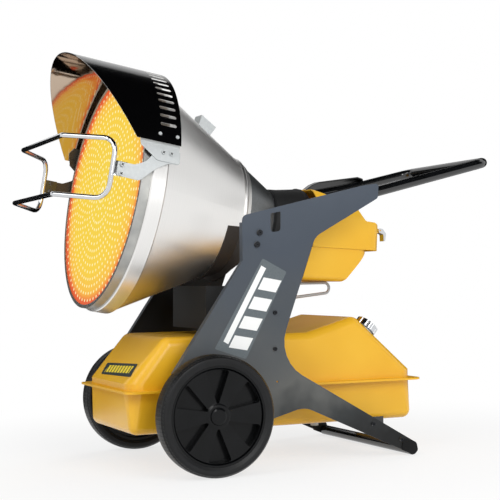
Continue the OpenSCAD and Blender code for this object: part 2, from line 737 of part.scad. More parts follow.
hood_back = 85.5;
hood_t = 1.5;
slot_front = 31.5;
module hood_slot() {
  translate([hood_r - 5, slot_front + slot_w / 2, 0]) rotate([0, 90, 0]) cylinder(d = slot_w, h = 12);
  translate([hood_r - 5, slot_front + slot_l - slot_w / 2, 0]) rotate([0, 90, 0])
    cylinder(d = slot_w, h = 12);
  translate([hood_r - 5, slot_front + slot_w / 2, -slot_w / 2]) cube([12, slot_l - slot_w, slot_w]);
}
module hood() {
  sweep = 180 - 2 * hood_edge;
  first = hood_edge + 9.2;
  low = hood_r * sin(hood_edge) - 5;
  color(BLACK) head() difference() {
    intersection() {
      rotate([0, -hood_edge, 0]) spun(sweep) polygon([
        [hood_r, -180], [hood_r + hood_t, -180], [hood_r + hood_t, hood_back], [hood_r, hood_back]]);
      side_on(-400, 400) polygon([
        [38.8 - 0.634 * low, low], [hood_back + 1, low], [hood_back + 1, 340], [38.8 - 0.634 * 340, 340]]);
    }
    for (k = [0:hood_slots - 1])
      rotate([0, -(first + k * (180 - 2 * first) / (hood_slots - 1)), 0]) hood_slot();
    for (a = [22.7, 157.3], s = [30, 75]) rotate([0, -a, 0]) translate([0, s, 0])
      across(6.4, hood_r - 10, hood_r + 10);
  }
}
strap_r = band_r + 2;
strap_t = 3;
bracket_t = 2;
function polar(r, a) = [r * cos(a), r * sin(a)];
// Joggled bracket: its lower leaf lies on the strap, its upper leaf lies inside the hood
module hood_brackets() {
  low = strap_r + strap_t + 0.1;
  high = hood_r - seat - bracket_t;
  leaf = concat([for (a = [11:1:18.5]) [low, a]], [for (a = [20.5:1:26]) [high, a]]);
  color("#d5d5d3") head() mirrored() difference() {
    intersection() {
      end_on(-24, 85) polygon(concat(
        [for (p = leaf) polar(p.x, p.y)],
        [for (k = [len(leaf) - 1:-1:0]) polar(leaf[k].x + bracket_t, leaf[k].y)]));
      side_on(200, 400) polygon([[-6, 150], [84.8, 150], [84.8, 56], [28, 62], [-14, 92], [-22, 124]]);
    }
    for (s = [44, 64]) rotate([0, -15, 0]) translate([0, s, 0]) across(6.4, low - 10, low + 10);
    for (s = [30, 75]) rotate([0, -22.7, 0]) translate([0, s, 0]) across(5.4, low - 10, hood_r + 10);
  }
}

// Strap from the head side forward to the guard
STRAP = [
  [-66, 5, 3], [-8, 3, 16], [30, 40, 30], [60, 58, 20], [88, 60, 6], [88, 92, 4], [34, 92, 24], [2, 52, 30],
  [-24, 39, 20], [-66, 39, 3]];
module guard_strap() {
  color("#cfcfcd") difference() {
    intersection() {
      rotate([0, 2, 0]) spun(22) polygon([
        [strap_r, -67], [strap_r + strap_t, -67], [strap_r + strap_t, 90], [strap_r, 90]]);
      side_on(200, 400) polygon(rounded(STRAP, 5));
    }
    for (s = [44, 64]) rotate([0, -15, 0]) translate([0, s, 0]) across(6.4, strap_r - 10, strap_r + 10);
    for (v = [11, 33]) translate([0, -56, v]) across(6.4, strap_r - 20, strap_r + 10);
  }
}
module guard_strap_left() head() guard_strap();
module guard_strap_right() head() mirror([1, 0, 0]) guard_strap();

// Bent rod guard with a bolting tab welded behind each upright
GUARD = [
  [-guard_front_x, guard_front_s, guard_top, 14], [guard_front_x, guard_front_s, guard_top, 14],
  [guard_bar_x, guard_bar_s, guard_top, 34], [guard_bar_x, guard_bar_s, guard_low, 34],
  [guard_front_x, guard_front_s, guard_low, 14], [-guard_front_x, guard_front_s, guard_low, 14],
  [-guard_bar_x, guard_bar_s, guard_low, 34], [-guard_bar_x, guard_bar_s, guard_top, 34]];
module guard() {
  color(CHROME) head() {
    swept(loop(GUARD, 5), guard_r, 12, [0, 1, 0], true);
    mirrored() difference() {
      rotate([0, -0.8, 0]) spun(6.6) polygon([
        [strap_r - 3.4, guard_bar_s + 1.3], [strap_r - seat, guard_bar_s + 1.3],
        [strap_r - seat, guard_bar_s + 36], [strap_r - 3.4, guard_bar_s + 36]]);
      for (v = [11, 33]) translate([0, -56, v]) across(6.4, strap_r - 20, strap_r + 10);
    }
  }
}
// Screws through hood, brackets and straps, with spacers to the head band, and the guard bolts
module head_screws() {
  low = strap_r + strap_t + bracket_t + 0.15;
  color(CHROME) head() mirrored() {
    for (s = [44, 64]) rotate([0, -15, 0]) translate([0, s, 0]) {
      across(5.8, band_r + touch, low + 0.1);
      across(11, low, low + 3.5);
      across(11, band_r + touch, strap_r - 0.08);
    }
    for (s = [30, 75]) rotate([0, -22.7, 0]) translate([0, s, 0]) {
      across(5, hood_r - 6, hood_r + hood_t + 0.1);
      across(9, hood_r + hood_t + touch, hood_r + hood_t + 2.2);
    }
    for (v = [11, 33]) translate([0, -56, v]) {
      across(6, strap_r - 8, strap_r + strap_t + 0.1);
      across(11, strap_r + strap_t + touch, strap_r + strap_t + 4);
      translate([strap_r - 10.8, 0, 0]) rotate([0, 90, 0]) cylinder(d = 11.5, h = 5, $fn = 6);
    }
  }
}

// Saddle plate under the cone, with a conical shoe and an end flange to each side plate
cradle_s = 342;
module head_cradle() {
  wide = plate_x - touch;
  shoe_t = 4;
  color(BLACK) {
    difference() {
      head() difference() {
        union() {
          end_on(cradle_s - 2, cradle_s + 2) polygon(rounded([
            [-wide - 4, -40], [-wide - 4, -104, 2], [-120, -150, 60], [0, -196, 200], [120, -150, 60],
            [wide + 4, -104, 2], [wide + 4, -40], [0, -40]], 5));
          rotate([0, 166, 0]) spun(152) polygon([
            [cone_r(292) + 0.5, 292], [cone_r(292) + shoe_t, 292], [cone_r(cradle_s) + 2 * shoe_t, cradle_s],
            [cone_r(cradle_s) + 0.5, cradle_s]]);
        }
        spun() polygon([[0, neck_s - 8], [neck_r + 3.4, neck_s - 8], [neck_r + 3.4, cradle_s + 10],
          [0, cradle_s + 10]]);
      }
      chassis() mirrored() {
        translate([wide, -100, 300]) cube([100, 600, 600]);
        for (k = [0, 1]) translate([0, plate_screw_at[k].x, plate_screw_at[k].y]) across(13, wide - 14, wide + 5);
      }
    }
    chassis() mirrored() difference() {
      side_on(wide - 4, wide) polygon(rounded([[112, 545, 8], [158, 545, 8], [164, 622, 8], [118, 622, 8]], 4));
      for (k = [0, 1]) translate([0, plate_screw_at[k].x, plate_screw_at[k].y])
        across(m8 + 0.6, wide - 10, wide + 5);
    }
  }
}

// Burner parts on the head axis
module blast_tube() {
  color(STEEL) head() spun() polygon([
    [49, 372], [51, 372], [51, tail_s - 3], [54, tail_s - 3], [54, tail_s - touch], [49, tail_s - touch]]);
}
module flame_diffuser() {
  color("#85796c") head() difference() {
    spun() polygon([[8.4, 384], [48.6, 384], [48.6, 394], [46.6, 394], [46.6, 386], [14, 386], [14, 396],
      [8.4, 396]]);
    for (k = [0:7]) rotate([0, k * 45, 0]) translate([34, 380, 0]) rotate([0, 35, 0])
      cube([18, 8 * 2, 4], center = true);
    for (s = [-1, 1]) translate([s * 9, 380, 22]) rod(7, 0, 20);
  }
}
module oil_nozzle() {
  color("#c9a050") head() {
    rod(16, 396, case_front + 14);
    translate([0, 384, 0]) rotate([-90, 0, 0]) cylinder(d = 13, h = 12, $fn = 6);
    rod(7, 379, 385);
    difference() {
      rod(34, case_front + 4, tail_s + 12);
      rod(14, case_front, case_front + 20);
    }
    difference() {
      rod(97, tail_s + 10, tail_s + 12);
      rod(32, tail_s, tail_s + 20);
      for (k = [0:3]) rotate([0, k * 90, 0]) translate([36, tail_s + 5, 0]) rod(16, 0, 10);
      for (s = [-1, 1]) translate([s * 9, tail_s, 22]) rod(9.6, 0, 20);
    }
  }
}
module electrodes() {
  color("#e6e2d8") head() for (s = [-1, 1]) translate([s * 9, 0, 22]) {
    rod(9, 398, tail_s + 10);
    rod(2.4, 376, 399);
    rod(3, tail_s + 10, tail_s + 22);
  }
}
// Black fan housing: front plate, flared wall with a rolled rear bead and a motor plate
module fan_housing() {
  s0 = case_front;
  color(BLACK) head() difference() {
    spun() polygon(rounded([
      [0, s0], [tail_r, s0], [tail_r + 5, s0 + 4], [case_r - 12, s0 + 26], [case_r + 1, s0 + 86],
      [case_r, case_end, 6], [0, case_end]], 3));
    spun() polygon([[0, s0 + 3], [tail_r, s0 + 3], [case_r - 15, s0 + 27], [case_r - 2.5, s0 + 86],
      [case_r - 3.2, case_end - 3], [0, case_end - 3]]);
    rod(98, s0 - 5, s0 + 5);
    rod(40, case_end - 5, case_end + 5);
  }
}
// Forward curved blades between a back plate and a front ring, on the motor shaft
module fan_wheel() {
  r = fan_d / 2;
  back = case_end - 22;
  front = back - 44;
  color("#9fa3a6") head() {
    rod(shaft_d, front + 10, coupling_end);
    spun() polygon([[shaft_d / 2 - 0.1, back - 22], [18, back - 22], [20, back - 2], [r, back - 2], [r, back],
      [shaft_d / 2 - 0.1, back]]);
    spun() polygon([[r - 16, front], [r, front], [r, front + 2], [r - 16, front + 2]]);
    for (k = [0:fan_blades - 1]) rotate([0, k * 360 / fan_blades, 0])
      translate([r - 9, front + 1, 0]) rotate([0, 28, 0]) translate([-7.2, 0, -0.8]) cube([14.4, back - front - 2, 1.6]);
  }
}
module fan_motor() {
  r = motor_d / 2;
  front = case_end + 0.3;
  end = front + motor_len;
  color("#3a3d40") head() difference() {
    union() {
      spun() polygon(rounded([[0, front], [r + 14, front], [r + 14, front + 4], [r, front + 6], [r, end, 12],
        [22, end], [22, end + 4], [0, end + 4]], 3));
      for (k = [0:11]) rotate([0, k * 30, 0]) translate([r - 1, front + 8, -1.5]) cube([4, motor_len - 26, 3]);
      translate([-18, front + 12, r - 4]) cube([36, 44, 22]);
    }
    rod(shaft_d + 2 * slip, front - 10, end + 10);
  }
}
module fuel_pump() {
  front = case_end + motor_len + 5;
  end = front + pump_len;
  color("#b6b2a8") head() difference() {
    union() {
      rod(44, front, front + 8);
      translate([-24, front + 6, -26]) cube([48, pump_len - 6, 50]);
      translate([0, end - 16, -25]) rotate([180, 0, 0]) cylinder(d = 14, h = 12, $fn = 6);
      translate([0, 0, 0]) rod(20, end - 1, end + 6);
    }
    rod(shaft_d + 2 * slip, front - 5, coupling_end + 1);
  }
}
module ignition_transformer() {
  color("#2b2d30") covers() translate([-56, -2, -86.8]) {
    cube([112, 74, 44]);
    translate([0, 0, -0.3]) cube([112, 74, 1]);
    for (x = [36, 76]) translate([x, 20, 43]) cylinder(d = 12, h = 12);
  }
}

// Burner covers
roof_u = seam_u(160);
UPPER_SIDE = [
  [seam_u(0), 0], [roof_u, roof_w(roof_u)], [144.7, roof_w(144.7), 14], [163.7, 80.2, 14], [189, 72, 12],
  [197.6, 54], [cover_rear + 1, 0]];
UPPER_SIDE_IN = [
  [seam_u(0) - 1, -1], [roof_u - 3, roof_w(roof_u - 3) - cover_t * 1.08],
  [143.5, roof_w(143.5) - cover_t * 1.08, 14], [162, 77.9, 14], [187, 69.6, 10], [195.1, 53],
  [cover_rear - cover_t + 1, -1]];
function arch(inset, low, high) =
  let (w = cover_w / 2 - inset)
  [[-w, low], [-w, high - inset, cover_w / 2 - 42 - inset], [w, high - inset, cover_w / 2 - 42 - inset], [w, low]];
function cover_plan(inset, rear) =
  let (w = cover_w / 2 - inset)
  [[w, -50], [w, rear - inset, 40 - inset], [-w, rear - inset, 40 - inset], [-w, -50]];
module upper_solid(inset) {
  intersection() {
    side_on(-cover_w, cover_w) polygon(rounded(inset == 0 ? UPPER_SIDE : UPPER_SIDE_IN, 5));
    end_on(-60, 260) polygon(rounded(arch(inset, -2, 163), 12));
    translate([0, 0, -5]) linear_extrude(200) polygon(rounded(cover_plan(inset, cover_rear), 8));
  }
}
// Ears that carry the pin of a latch
module latch_ears() {
  for (s = [-1, 1]) difference() {
    side_on(s * 4 - 1, s * 4 + 1) polygon(rounded([
      [cover_rear - 4, latch_pivot_w - 9], [cover_rear + 1, latch_pivot_w - 9, 3],
      [latch_pivot_u + 4.5, latch_pivot_w - 4, 4], [latch_pivot_u + 4.5, latch_pivot_w + 4.5, 4],
      [latch_pivot_u - 4, latch_pivot_w + 5, 4], [cover_rear - 6, latch_pivot_w + 9]], 3));
    upper_solid(cover_t);
  }
  translate([0, latch_pivot_u, latch_pivot_w]) across(latch_pin, -latch_w / 2 + 1, latch_w / 2 - 1);
  side_on(-7, 7) polygon([[cover_rear - 2, latch_pivot_w - 12], [cover_rear + 1.6, latch_pivot_w - 12],
    [cover_rear - 1, latch_pivot_w + 4], [cover_rear - 2.4, latch_pivot_w + 4]]);
}
module upper_cover() {
  color(YELLOW) covers() {
    difference() {
      union() {
        difference() {
          upper_solid(0);
          upper_solid(cover_t);
        }
        for (s = [-1, 1]) translate([s * (knuckle_x + hinge_x) / 2 + s * 0.15, hinge_at.x, hinge_at.y])
          across(2 * knuckle_r, -(hinge_x - knuckle_x) / 2, (hinge_x - knuckle_x) / 2);
      }
      translate([0, hinge_at.x, hinge_at.y]) {
        across(hinge_d + 2 * run, -hinge_x - 5, hinge_x + 5);
        translate([-knuckle_x - 0.3, -10, -20]) cube([2 * knuckle_x + 0.6, 13.4, 40]);
      }
    }
    for (x = [-latch_x, latch_x]) translate([x, 0, 0]) latch_ears();
  }
}
lower_w = cover_w - 6;
LOWER_SIDE = [[seam_u(-0.3), -0.3], [173, -0.3], [103, -84, 10], [94, -90, 10], [seam_u(-90), -90, 4]];
LOWER_SIDE_IN = [[-32, 2], [170.3, 2], [101, -81.8, 9], [93, -87.5, 8], [-40, -87.5]];
function tray(inset) =
  let (w = lower_w / 2 - inset)
  [[-w, 2], [-w, -90 + inset, 14 - inset], [w, -90 + inset, 14 - inset], [w, 2]];
module lower_solid(inset) {
  plan = [[lower_w / 2 - inset, -70], [lower_w / 2 - inset, 172.5 - inset, 34 - inset],
    [-lower_w / 2 + inset, 172.5 - inset, 34 - inset], [-lower_w / 2 + inset, -70]];
  intersection() {
    side_on(-cover_w, cover_w) polygon(rounded(inset == 0 ? LOWER_SIDE : LOWER_SIDE_IN, 5));
    end_on(-60, 260) polygon(rounded(tray(inset), 5));
    translate([0, 0, -100]) linear_extrude(110) polygon(rounded(plan, 8));
  }
}
module lower_cover() {
  color(YELLOW) covers() difference() {
    lower_solid(0);
    lower_solid(cover_t);
  }
}
// Hinge pin with its fixed knuckle, and the foot that lies on top of the fan housing
module cover_hinge() {
  color(BLACK) {
    covers() translate([0, hinge_at.x, hinge_at.y]) {
      across(hinge_d, -hinge_x, hinge_x);
      across(2 * knuckle_r, -knuckle_x + 0.15, knuckle_x - 0.15);
    }
    head() intersection() {
      spun() polygon([[case_r + 1.1, case_end - 19], [case_r + 3.1, case_end - 19],
        [case_r + 3.1, case_end - 1.2], [case_r + 1.1, case_end - 1.2]]);
      translate([-knuckle_x + 0.2, case_end - 40, 0]) cube([2 * knuckle_x - 0.4, 60, 200]);
    }
  }
}
// Lever of a draw latch: it turns on the pin between the two ears and hooks under the cover's rim
module latch() {
  half = latch_w / 2;
  color(CHROME) difference() {
    side_on(-half, half) polygon(rounded([
      [-5, 3, 2], [-2, 6, 3], [8, 5, 4], [19, -8, 6], [17, -29, 3], [12, -29], [10.5, -10, 5], [-4, -6, 2]], 4));
    across(latch_pin + 2 * run, -20, 20);
    side_on(-half + 4.5, half - 4.5) polygon([[-8, -12], [6, -12], [6, 12], [-8, 12]]);
  }
}
module latch_place(x) covers() translate([x, latch_pivot_u, latch_pivot_w]) children();
module latch_left() latch_place(latch_x) latch();
module latch_right() latch_place(-latch_x) latch();

// Control box between the plates, with its panel toward the operator
module control_box() {
  wall = 1.5;
  color(BLACK) chassis() {
    difference() {
      translate([-box_w / 2, box_y, box_z]) cube([box_w, box_d, box_h]);
      translate([-box_w / 2 + wall, box_y + wall, box_z + wall])
        cube([box_w - 2 * wall, box_d - 2 * wall, box_h - 2 * wall]);
      translate([switch_x - 11, box_rear - 5, panel_z - 15]) cube([22, 10, 30]);
      translate([knob_x, 0, panel_z]) rod(8.6, box_rear - 5, box_rear + 5);
      translate([lamp_x, 0, panel_z]) rod(10, box_rear - 5, box_rear + 5);
      translate([inlet_x - 24.5, box_rear - 5, panel_z - 15.5]) cube([49, 10, 31]);
    }
    translate([switch_x, box_rear, panel_z]) {
      difference() {
        translate([-13, -touch, -17]) cube([26, 3, 34]);
        translate([-rocker_w / 2 - slip, -1, -14.5]) cube([rocker_w + 2 * slip, 6, 29]);
      }
      across(3 - 2 * run, -rocker_w / 2 - 1, rocker_w / 2 + 1);
    }
    for (s = [-1, 1]) difference() {
      union() {
        translate([s > 0 ? box_w / 2 : -plate_x + touch, 172, 388])
          cube([plate_x - touch - box_w / 2, 3, 24]);
        translate([s > 0 ? plate_x - 3 - touch : -plate_x + touch, 172, 388]) cube([3, 20, 24]);
      }
      translate([0, 181, 399]) across(m8 + 0.6, -plate_x - 5, plate_x + 5);
    }
  }
}
module panel_place(x) chassis() translate([x, box_rear, panel_z]) children();
// Rocker switch, drawn about its pivot
module power_switch() {
  color("#c8281e") panel_place(switch_x) difference() {
    side_on(-rocker_w / 2, rocker_w / 2) polygon(rounded([[-5, -12, 1], [2, -13.2, 1.5], [3.4, 0], [5.5, 12.6, 1.5], [-5, 12, 1]], 3));
    across(3, -12, 12);
  }
}
module thermostat_knob() {
  color(BLACK) panel_place(knob_x) difference() {
    union() {
      rod(8, -4, 2);
      translate([0, seat, 0]) rod(knob_d, 0, 6);
      translate([0, 5, 0]) rod(knob_d - 8, 0, 13);
      translate([-4, 5, -knob_d / 2 + 1]) cube([8, 14, knob_d - 2]);
    }
    translate([-0.7, 18, 4]) cube([1.4, 4, knob_d / 2]);
  }
}
module pilot_lamp() {
  color("#d83a20") panel_place(lamp_x) {
    rod(10 - 2 * touch, -6, 1);
    rod(14, touch, 2);
    translate([0, 2, 0]) spun() polygon([[0, -0.2], [5, -0.2], [4.4, 3], [2.4, 5], [0, 5.6]]);
  }
}
module power_inlet() {
  color("#202224") panel_place(inlet_x) difference() {
    union() {
      translate([-24.4, -14, -15.4]) cube([48.8, 14 + 2 * touch, 30.8]);
      translate([-27, touch, -18]) cube([54, 3, 36]);
    }
    translate([-13, -11, -9]) cube([26, 20, 18]);
  }
}

side_plate_left();
side_plate_right();
foot_bar();
foot_caps();
handle();
cord_hook();
plate_screws();
tank_rails();
stub_axles();
axle_sleeves();
wheel_left();
tyre_left();
hub_cap_left();
wheel_right();
tyre_right();
hub_cap_right();
tank_upper();
tank_lower();
filler_neck();
fuel_cap();
fuel_gauge();
suction_pipe();
drain_plug();
fuel_hose();
fuel_filter();
radiant_disc();
rim_ring();
head_band();
front_cone();
clamp_bead();
rear_cone();
inner_chamber();
insulation();
sensor_box();
hood();
hood_brackets();
guard_strap_left();
guard_strap_right();
guard();
head_screws();
head_cradle();
blast_tube();
flame_diffuser();
oil_nozzle();
electrodes();
fan_housing();
fan_wheel();
fan_motor();
fuel_pump();
ignition_transformer();
upper_cover();
lower_cover();
cover_hinge();
latch_left();
latch_right();
control_box();
power_switch();
thermostat_knob();
pilot_lamp();
power_inlet();
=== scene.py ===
"""Looks of the wheeled infrared heater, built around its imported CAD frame. Metres, Z up."""

import json
import math

import bmesh
import bpy
from mathutils import Matrix, Vector


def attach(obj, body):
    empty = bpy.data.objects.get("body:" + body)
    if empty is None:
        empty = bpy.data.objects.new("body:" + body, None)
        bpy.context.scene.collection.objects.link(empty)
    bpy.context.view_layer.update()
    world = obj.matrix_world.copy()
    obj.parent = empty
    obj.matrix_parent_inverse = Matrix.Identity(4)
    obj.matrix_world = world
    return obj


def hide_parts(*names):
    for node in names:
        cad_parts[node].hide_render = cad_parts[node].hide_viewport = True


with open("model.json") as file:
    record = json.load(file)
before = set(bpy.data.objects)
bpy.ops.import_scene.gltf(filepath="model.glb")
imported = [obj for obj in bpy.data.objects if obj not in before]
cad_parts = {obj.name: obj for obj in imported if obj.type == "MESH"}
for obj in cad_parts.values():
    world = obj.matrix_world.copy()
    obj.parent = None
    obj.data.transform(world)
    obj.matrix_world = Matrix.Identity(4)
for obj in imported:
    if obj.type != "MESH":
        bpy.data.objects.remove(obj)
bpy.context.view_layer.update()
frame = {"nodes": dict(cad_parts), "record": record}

# The heater's own frames, with the sizes that the solids were drawn from, in millimetres.
# The chassis datum has Y behind the axle and Z over the floor of a level heater.
MM = 0.001
WHEEL_R = 150.0
DATUM = 150.0
HEAD_TILT = math.radians(9.2)
HEAD_Y, HEAD_Z = 195.5, 712.0
TANK_PITCH = math.radians(0.9)
COVER_Y, COVER_Z, COVER_PITCH = 372.0, 571.0, math.radians(2.5)
FOOT_Y, FOOT_Z, FOOT_R = 587.0, 32.0, 14.0
# the chassis leans back about the axle until the foot bar rests on the floor
LEAN = (math.asin((FOOT_R - WHEEL_R) / math.hypot(FOOT_Y, FOOT_Z - DATUM))
        - math.atan2(FOOT_Z - DATUM, FOOT_Y))
# the middle of its footprint lies on the origin
SHIFT_Y = -263.1333
DISC_R = 300.0
PLATE_X = 256.0
TILT = HEAD_TILT - LEAN


def chassis(x, y, z):
    """A point of the chassis datum, in millimetres, as a world point in metres."""
    up = z - DATUM
    return Vector((x, y * math.cos(LEAN) - up * math.sin(LEAN) + SHIFT_Y,
                   y * math.sin(LEAN) + up * math.cos(LEAN) + WHEEL_R)) * MM


def head(x, s, v):
    """A point at station s behind the disc and height v over the head's axis."""
    return chassis(x, -HEAD_Y + s * math.cos(HEAD_TILT) + v * math.sin(HEAD_TILT),
                   HEAD_Z - s * math.sin(HEAD_TILT) + v * math.cos(HEAD_TILT))


def cover(x, u, w):
    """A point u behind the front seam of the burner covers and w over the joint between them."""
    return chassis(x, COVER_Y + u * math.cos(COVER_PITCH) + w * math.sin(COVER_PITCH),
                   COVER_Z - u * math.sin(COVER_PITCH) + w * math.cos(COVER_PITCH))


def tank(x, y, z):
    """A point of the tank's own frame."""
    return chassis(x, y * math.cos(TANK_PITCH) - z * math.sin(TANK_PITCH),
                   y * math.sin(TANK_PITCH) + z * math.cos(TANK_PITCH))


# Materials

def colour(code):
    """An sRGB hex colour as the linear values that Blender mixes."""
    parts = [int(code[i:i + 2], 16) / 255 for i in (1, 3, 5)]
    return [c / 12.92 if c <= 0.04045 else ((c + 0.055) / 1.055) ** 2.4 for c in parts] + [1.0]


def add(tree, kind, inputs=None, stops=None, **settings):
    """Adds one node, with its options, its values or links, and the stops of a ramp.

    A node that is given as a value stands for its first output."""
    node = tree.nodes.new(kind)
    for name, value in settings.items():
        setattr(node, name, value)
    for name, value in (inputs or {}).items():
        if isinstance(value, bpy.types.Node):
            value = value.outputs[0]
        if isinstance(value, bpy.types.NodeSocket):
            tree.links.new(value, node.inputs[name])
        else:
            node.inputs[name].default_value = value
    if stops:
        marks = node.color_ramp.elements
        for at, code in stops[1:-1]:
            marks.new(at).color = colour(code)
        for mark, (at, code) in ((marks[0], stops[0]), (marks[-1], stops[-1])):
            mark.position, mark.color = at, colour(code)
    return node


def start(name, **shader):
    """A new material with its surface shader, its output and the object's coordinates."""
    material = bpy.data.materials.new(name)
    material.use_nodes = True
    tree = material.node_tree
    tree.nodes.clear()
    surface = add(tree, "ShaderNodeBsdfPrincipled", shader)
    out = add(tree, "ShaderNodeOutputMaterial", {"Surface": surface})
    place = add(tree, "ShaderNodeTexCoord").outputs["Object"]
    return material, tree, surface, place, out


def join(tree, surface, **links):
    """Links finished colours, gloss and bumps, as sockets or whole nodes, into a surface shader."""
    for name, value in links.items():
        socket = value.outputs[0] if isinstance(value, bpy.types.Node) else value
        tree.links.new(socket, surface.inputs[name.replace("_", " ")])


def head_space(tree, place):
    """Object coordinates turned into the head's frame: x, station behind the disc, height."""
    moved = add(tree, "ShaderNodeVectorMath", {0: place, 1: head(0, 0, 0)}, operation="SUBTRACT")
    return add(tree, "ShaderNodeVectorRotate", {"Vector": moved, "Angle": TILT},
               rotation_type="X_AXIS")


def inner_side(tree, place, least):
    """1 on faces that look to the heater's middle plane, by at least this share of their normal."""
    facing = add(tree, "ShaderNodeNewGeometry").outputs["True Normal"]
    across = add(tree, "ShaderNodeSeparateXYZ", {0: facing})
    along = add(tree, "ShaderNodeSeparateXYZ", {0: place})
    side = add(tree, "ShaderNodeMath", {0: along}, operation="SIGN")
    outward = add(tree, "ShaderNodeMath", {0: across, 1: side}, operation="MULTIPLY")
    return add(tree, "ShaderNodeMath", {0: outward, 1: -least}, operation="LESS_THAN")


def slate_powder_coat():
    """Polyester powder coat on 4 mm steel plate: slate and satin, with a fine orange peel."""
    material, tree, surface, place, _ = start(
        "slate_powder_coat", Roughness=0.46, **{"Specular IOR Level": 0.3})
    # painted shade blackens the feet; above them the coat goes from neutral to a cooler slate
    height = add(tree, "ShaderNodeSeparateXYZ", {0: place}).outputs[2]
    cloud = add(tree, "ShaderNodeTexNoise", {"Vector": place, "Scale": 7.0, "Detail": 3.0})
    level = add(tree, "ShaderNodeMath", {0: cloud, 1: 0.25, 2: height}, operation="MULTIPLY_ADD")
    tone = add(tree, "ShaderNodeValToRGB", {0: level},
               stops=[(0.18, "#121314"), (0.25, "#303334"), (0.32, "#5c5d5b"), (0.5, "#484d52"),
                      (0.68, "#434b56"), (0.95, "#4e5661")])
    # the peel is about 1.5 mm across
    peel = add(tree, "ShaderNodeTexNoise", {"Vector": place, "Scale": 650.0, "Detail": 2.0})
    bump = add(tree, "ShaderNodeBump", {"Strength": 0.06, "Distance": 0.0004, "Height": peel})
    # painted shade blackens the inner side of the right plate, which lies in the head's shade
    across = add(tree, "ShaderNodeSeparateXYZ", {0: place})
    right = add(tree, "ShaderNodeMath", {0: across, 1: 0.0}, operation="LESS_THAN")
    inner = inner_side(tree, place, 0.9)
    far_shade_mask = add(tree, "ShaderNodeMath", {0: inner, 1: right}, operation="MULTIPLY")
    far_shaded = add(tree, "ShaderNodeMix", {0: far_shade_mask, 6: tone, 7: colour("#0a0b0b")}, data_type="RGBA")
    join(tree, surface, Base_Color=far_shaded.outputs[2], Normal=bump)
    return material


def black_stoving_enamel():
    """Stoving enamel on drawn tube and pressed sheet: wet black gloss over slightly wavy steel."""
    material, tree, surface, place, _ = start(
        "black_stoving_enamel", Roughness=0.14, **{"Specular IOR Level": 0.9})
    cloud = add(tree, "ShaderNodeTexNoise", {"Vector": place, "Scale": 20.0, "Detail": 4.0})
    tone = add(tree, "ShaderNodeValToRGB", {0: cloud}, stops=[(0.35, "#08090a"), (0.7, "#0f1012")])
    # the tube's draw marks are some 15 mm from crest to crest
    wave = add(tree, "ShaderNodeTexNoise", {"Vector": place, "Scale": 60.0, "Detail": 2.0})
    bump = add(tree, "ShaderNodeBump", {"Strength": 0.08, "Distance": 0.0005, "Height": wave})
    join(tree, surface, Base_Color=tone, Normal=bump)
    return material


def moulded_nylon():
    """Glass filled nylon, injection moulded: black, with a soft sheen and the mould's fine grain."""
    material, tree, surface, place, _ = start(
        "moulded_nylon", Roughness=0.2, **{"Specular IOR Level": 0.2})
    # the spark eroded grain of the mould is about 0.8 mm across, drawn at 1.4 mm so that it shows
    grain = add(tree, "ShaderNodeTexNoise", {"Vector": place, "Scale": 700.0, "Detail": 3.0})
    bump = add(tree, "ShaderNodeBump", {"Strength": 0.1, "Distance": 0.0003, "Height": grain})
    flow = add(tree, "ShaderNodeTexNoise", {"Vector": place, "Scale": 18.0, "Detail": 4.0})
    tone = add(tree, "ShaderNodeValToRGB", {0: flow}, stops=[(0.35, "#060708"), (0.7, "#0d0e10")])
    join(tree, surface, Base_Color=tone, Normal=bump)
    return material


def solid_rubber():
    """Moulded solid rubber: dull charcoal, with fine lugs across the tread."""
    material, tree, surface, place, _ = start(
        "solid_rubber", Roughness=0.42, **{"Specular IOR Level": 0.3})
    # each wheel turns about the X axis through its hub
    axle = (0, SHIFT_Y * MM, WHEEL_R * MM)
    hub = add(tree, "ShaderNodeVectorMath", {0: place, 1: axle}, operation="SUBTRACT")
    flat = add(tree, "ShaderNodeVectorMath", {0: hub, 1: (0, 1, 1)}, operation="MULTIPLY")
    reach = add(tree, "ShaderNodeVectorMath", {0: flat}, operation="LENGTH").outputs["Value"]
    parts = add(tree, "ShaderNodeSeparateXYZ", {0: hub}).outputs
    turn = add(tree, "ShaderNodeMath", {0: parts[2], 1: parts[1]}, operation="ARCTAN2")
    # 96 lugs round the tread, about 10 mm apart
    lugs = add(tree, "ShaderNodeMath", {0: turn, 1: 96 / math.tau}, operation="MULTIPLY")
    lugs = add(tree, "ShaderNodeMath", {0: lugs, 1: 0.5}, operation="PINGPONG")
    lugs = add(tree, "ShaderNodeMapRange", {0: lugs, 1: 0.12, 2: 0.2},
               interpolation_type="SMOOTHSTEP")
    # they are cut into the outer 5 mm of the tyre only
    tread = add(tree, "ShaderNodeMapRange", {0: reach, 1: 0.1445, 2: 0.146})
    rib = add(tree, "ShaderNodeMath", {0: lugs, 1: tread}, operation="MULTIPLY")
    dust = add(tree, "ShaderNodeTexNoise", {"Vector": place, "Scale": 35.0, "Detail": 5.0})
    tone = add(tree, "ShaderNodeValToRGB", {0: dust}, stops=[(0.3, "#08090a"), (0.75, "#101114")])
    # painted shade: the lug grooves take the darkest tone of the rubber
    groove_shade = add(tree, "ShaderNodeMix", {0: rib, 6: tone, 7: colour("#08090a")}, data_type="RGBA")
    bump = add(tree, "ShaderNodeBump", {"Strength": 0.8, "Distance": 0.002, "Height": rib},
               invert=True)
    join(tree, surface, Base_Color=groove_shade.outputs[2], Normal=bump)
    return material


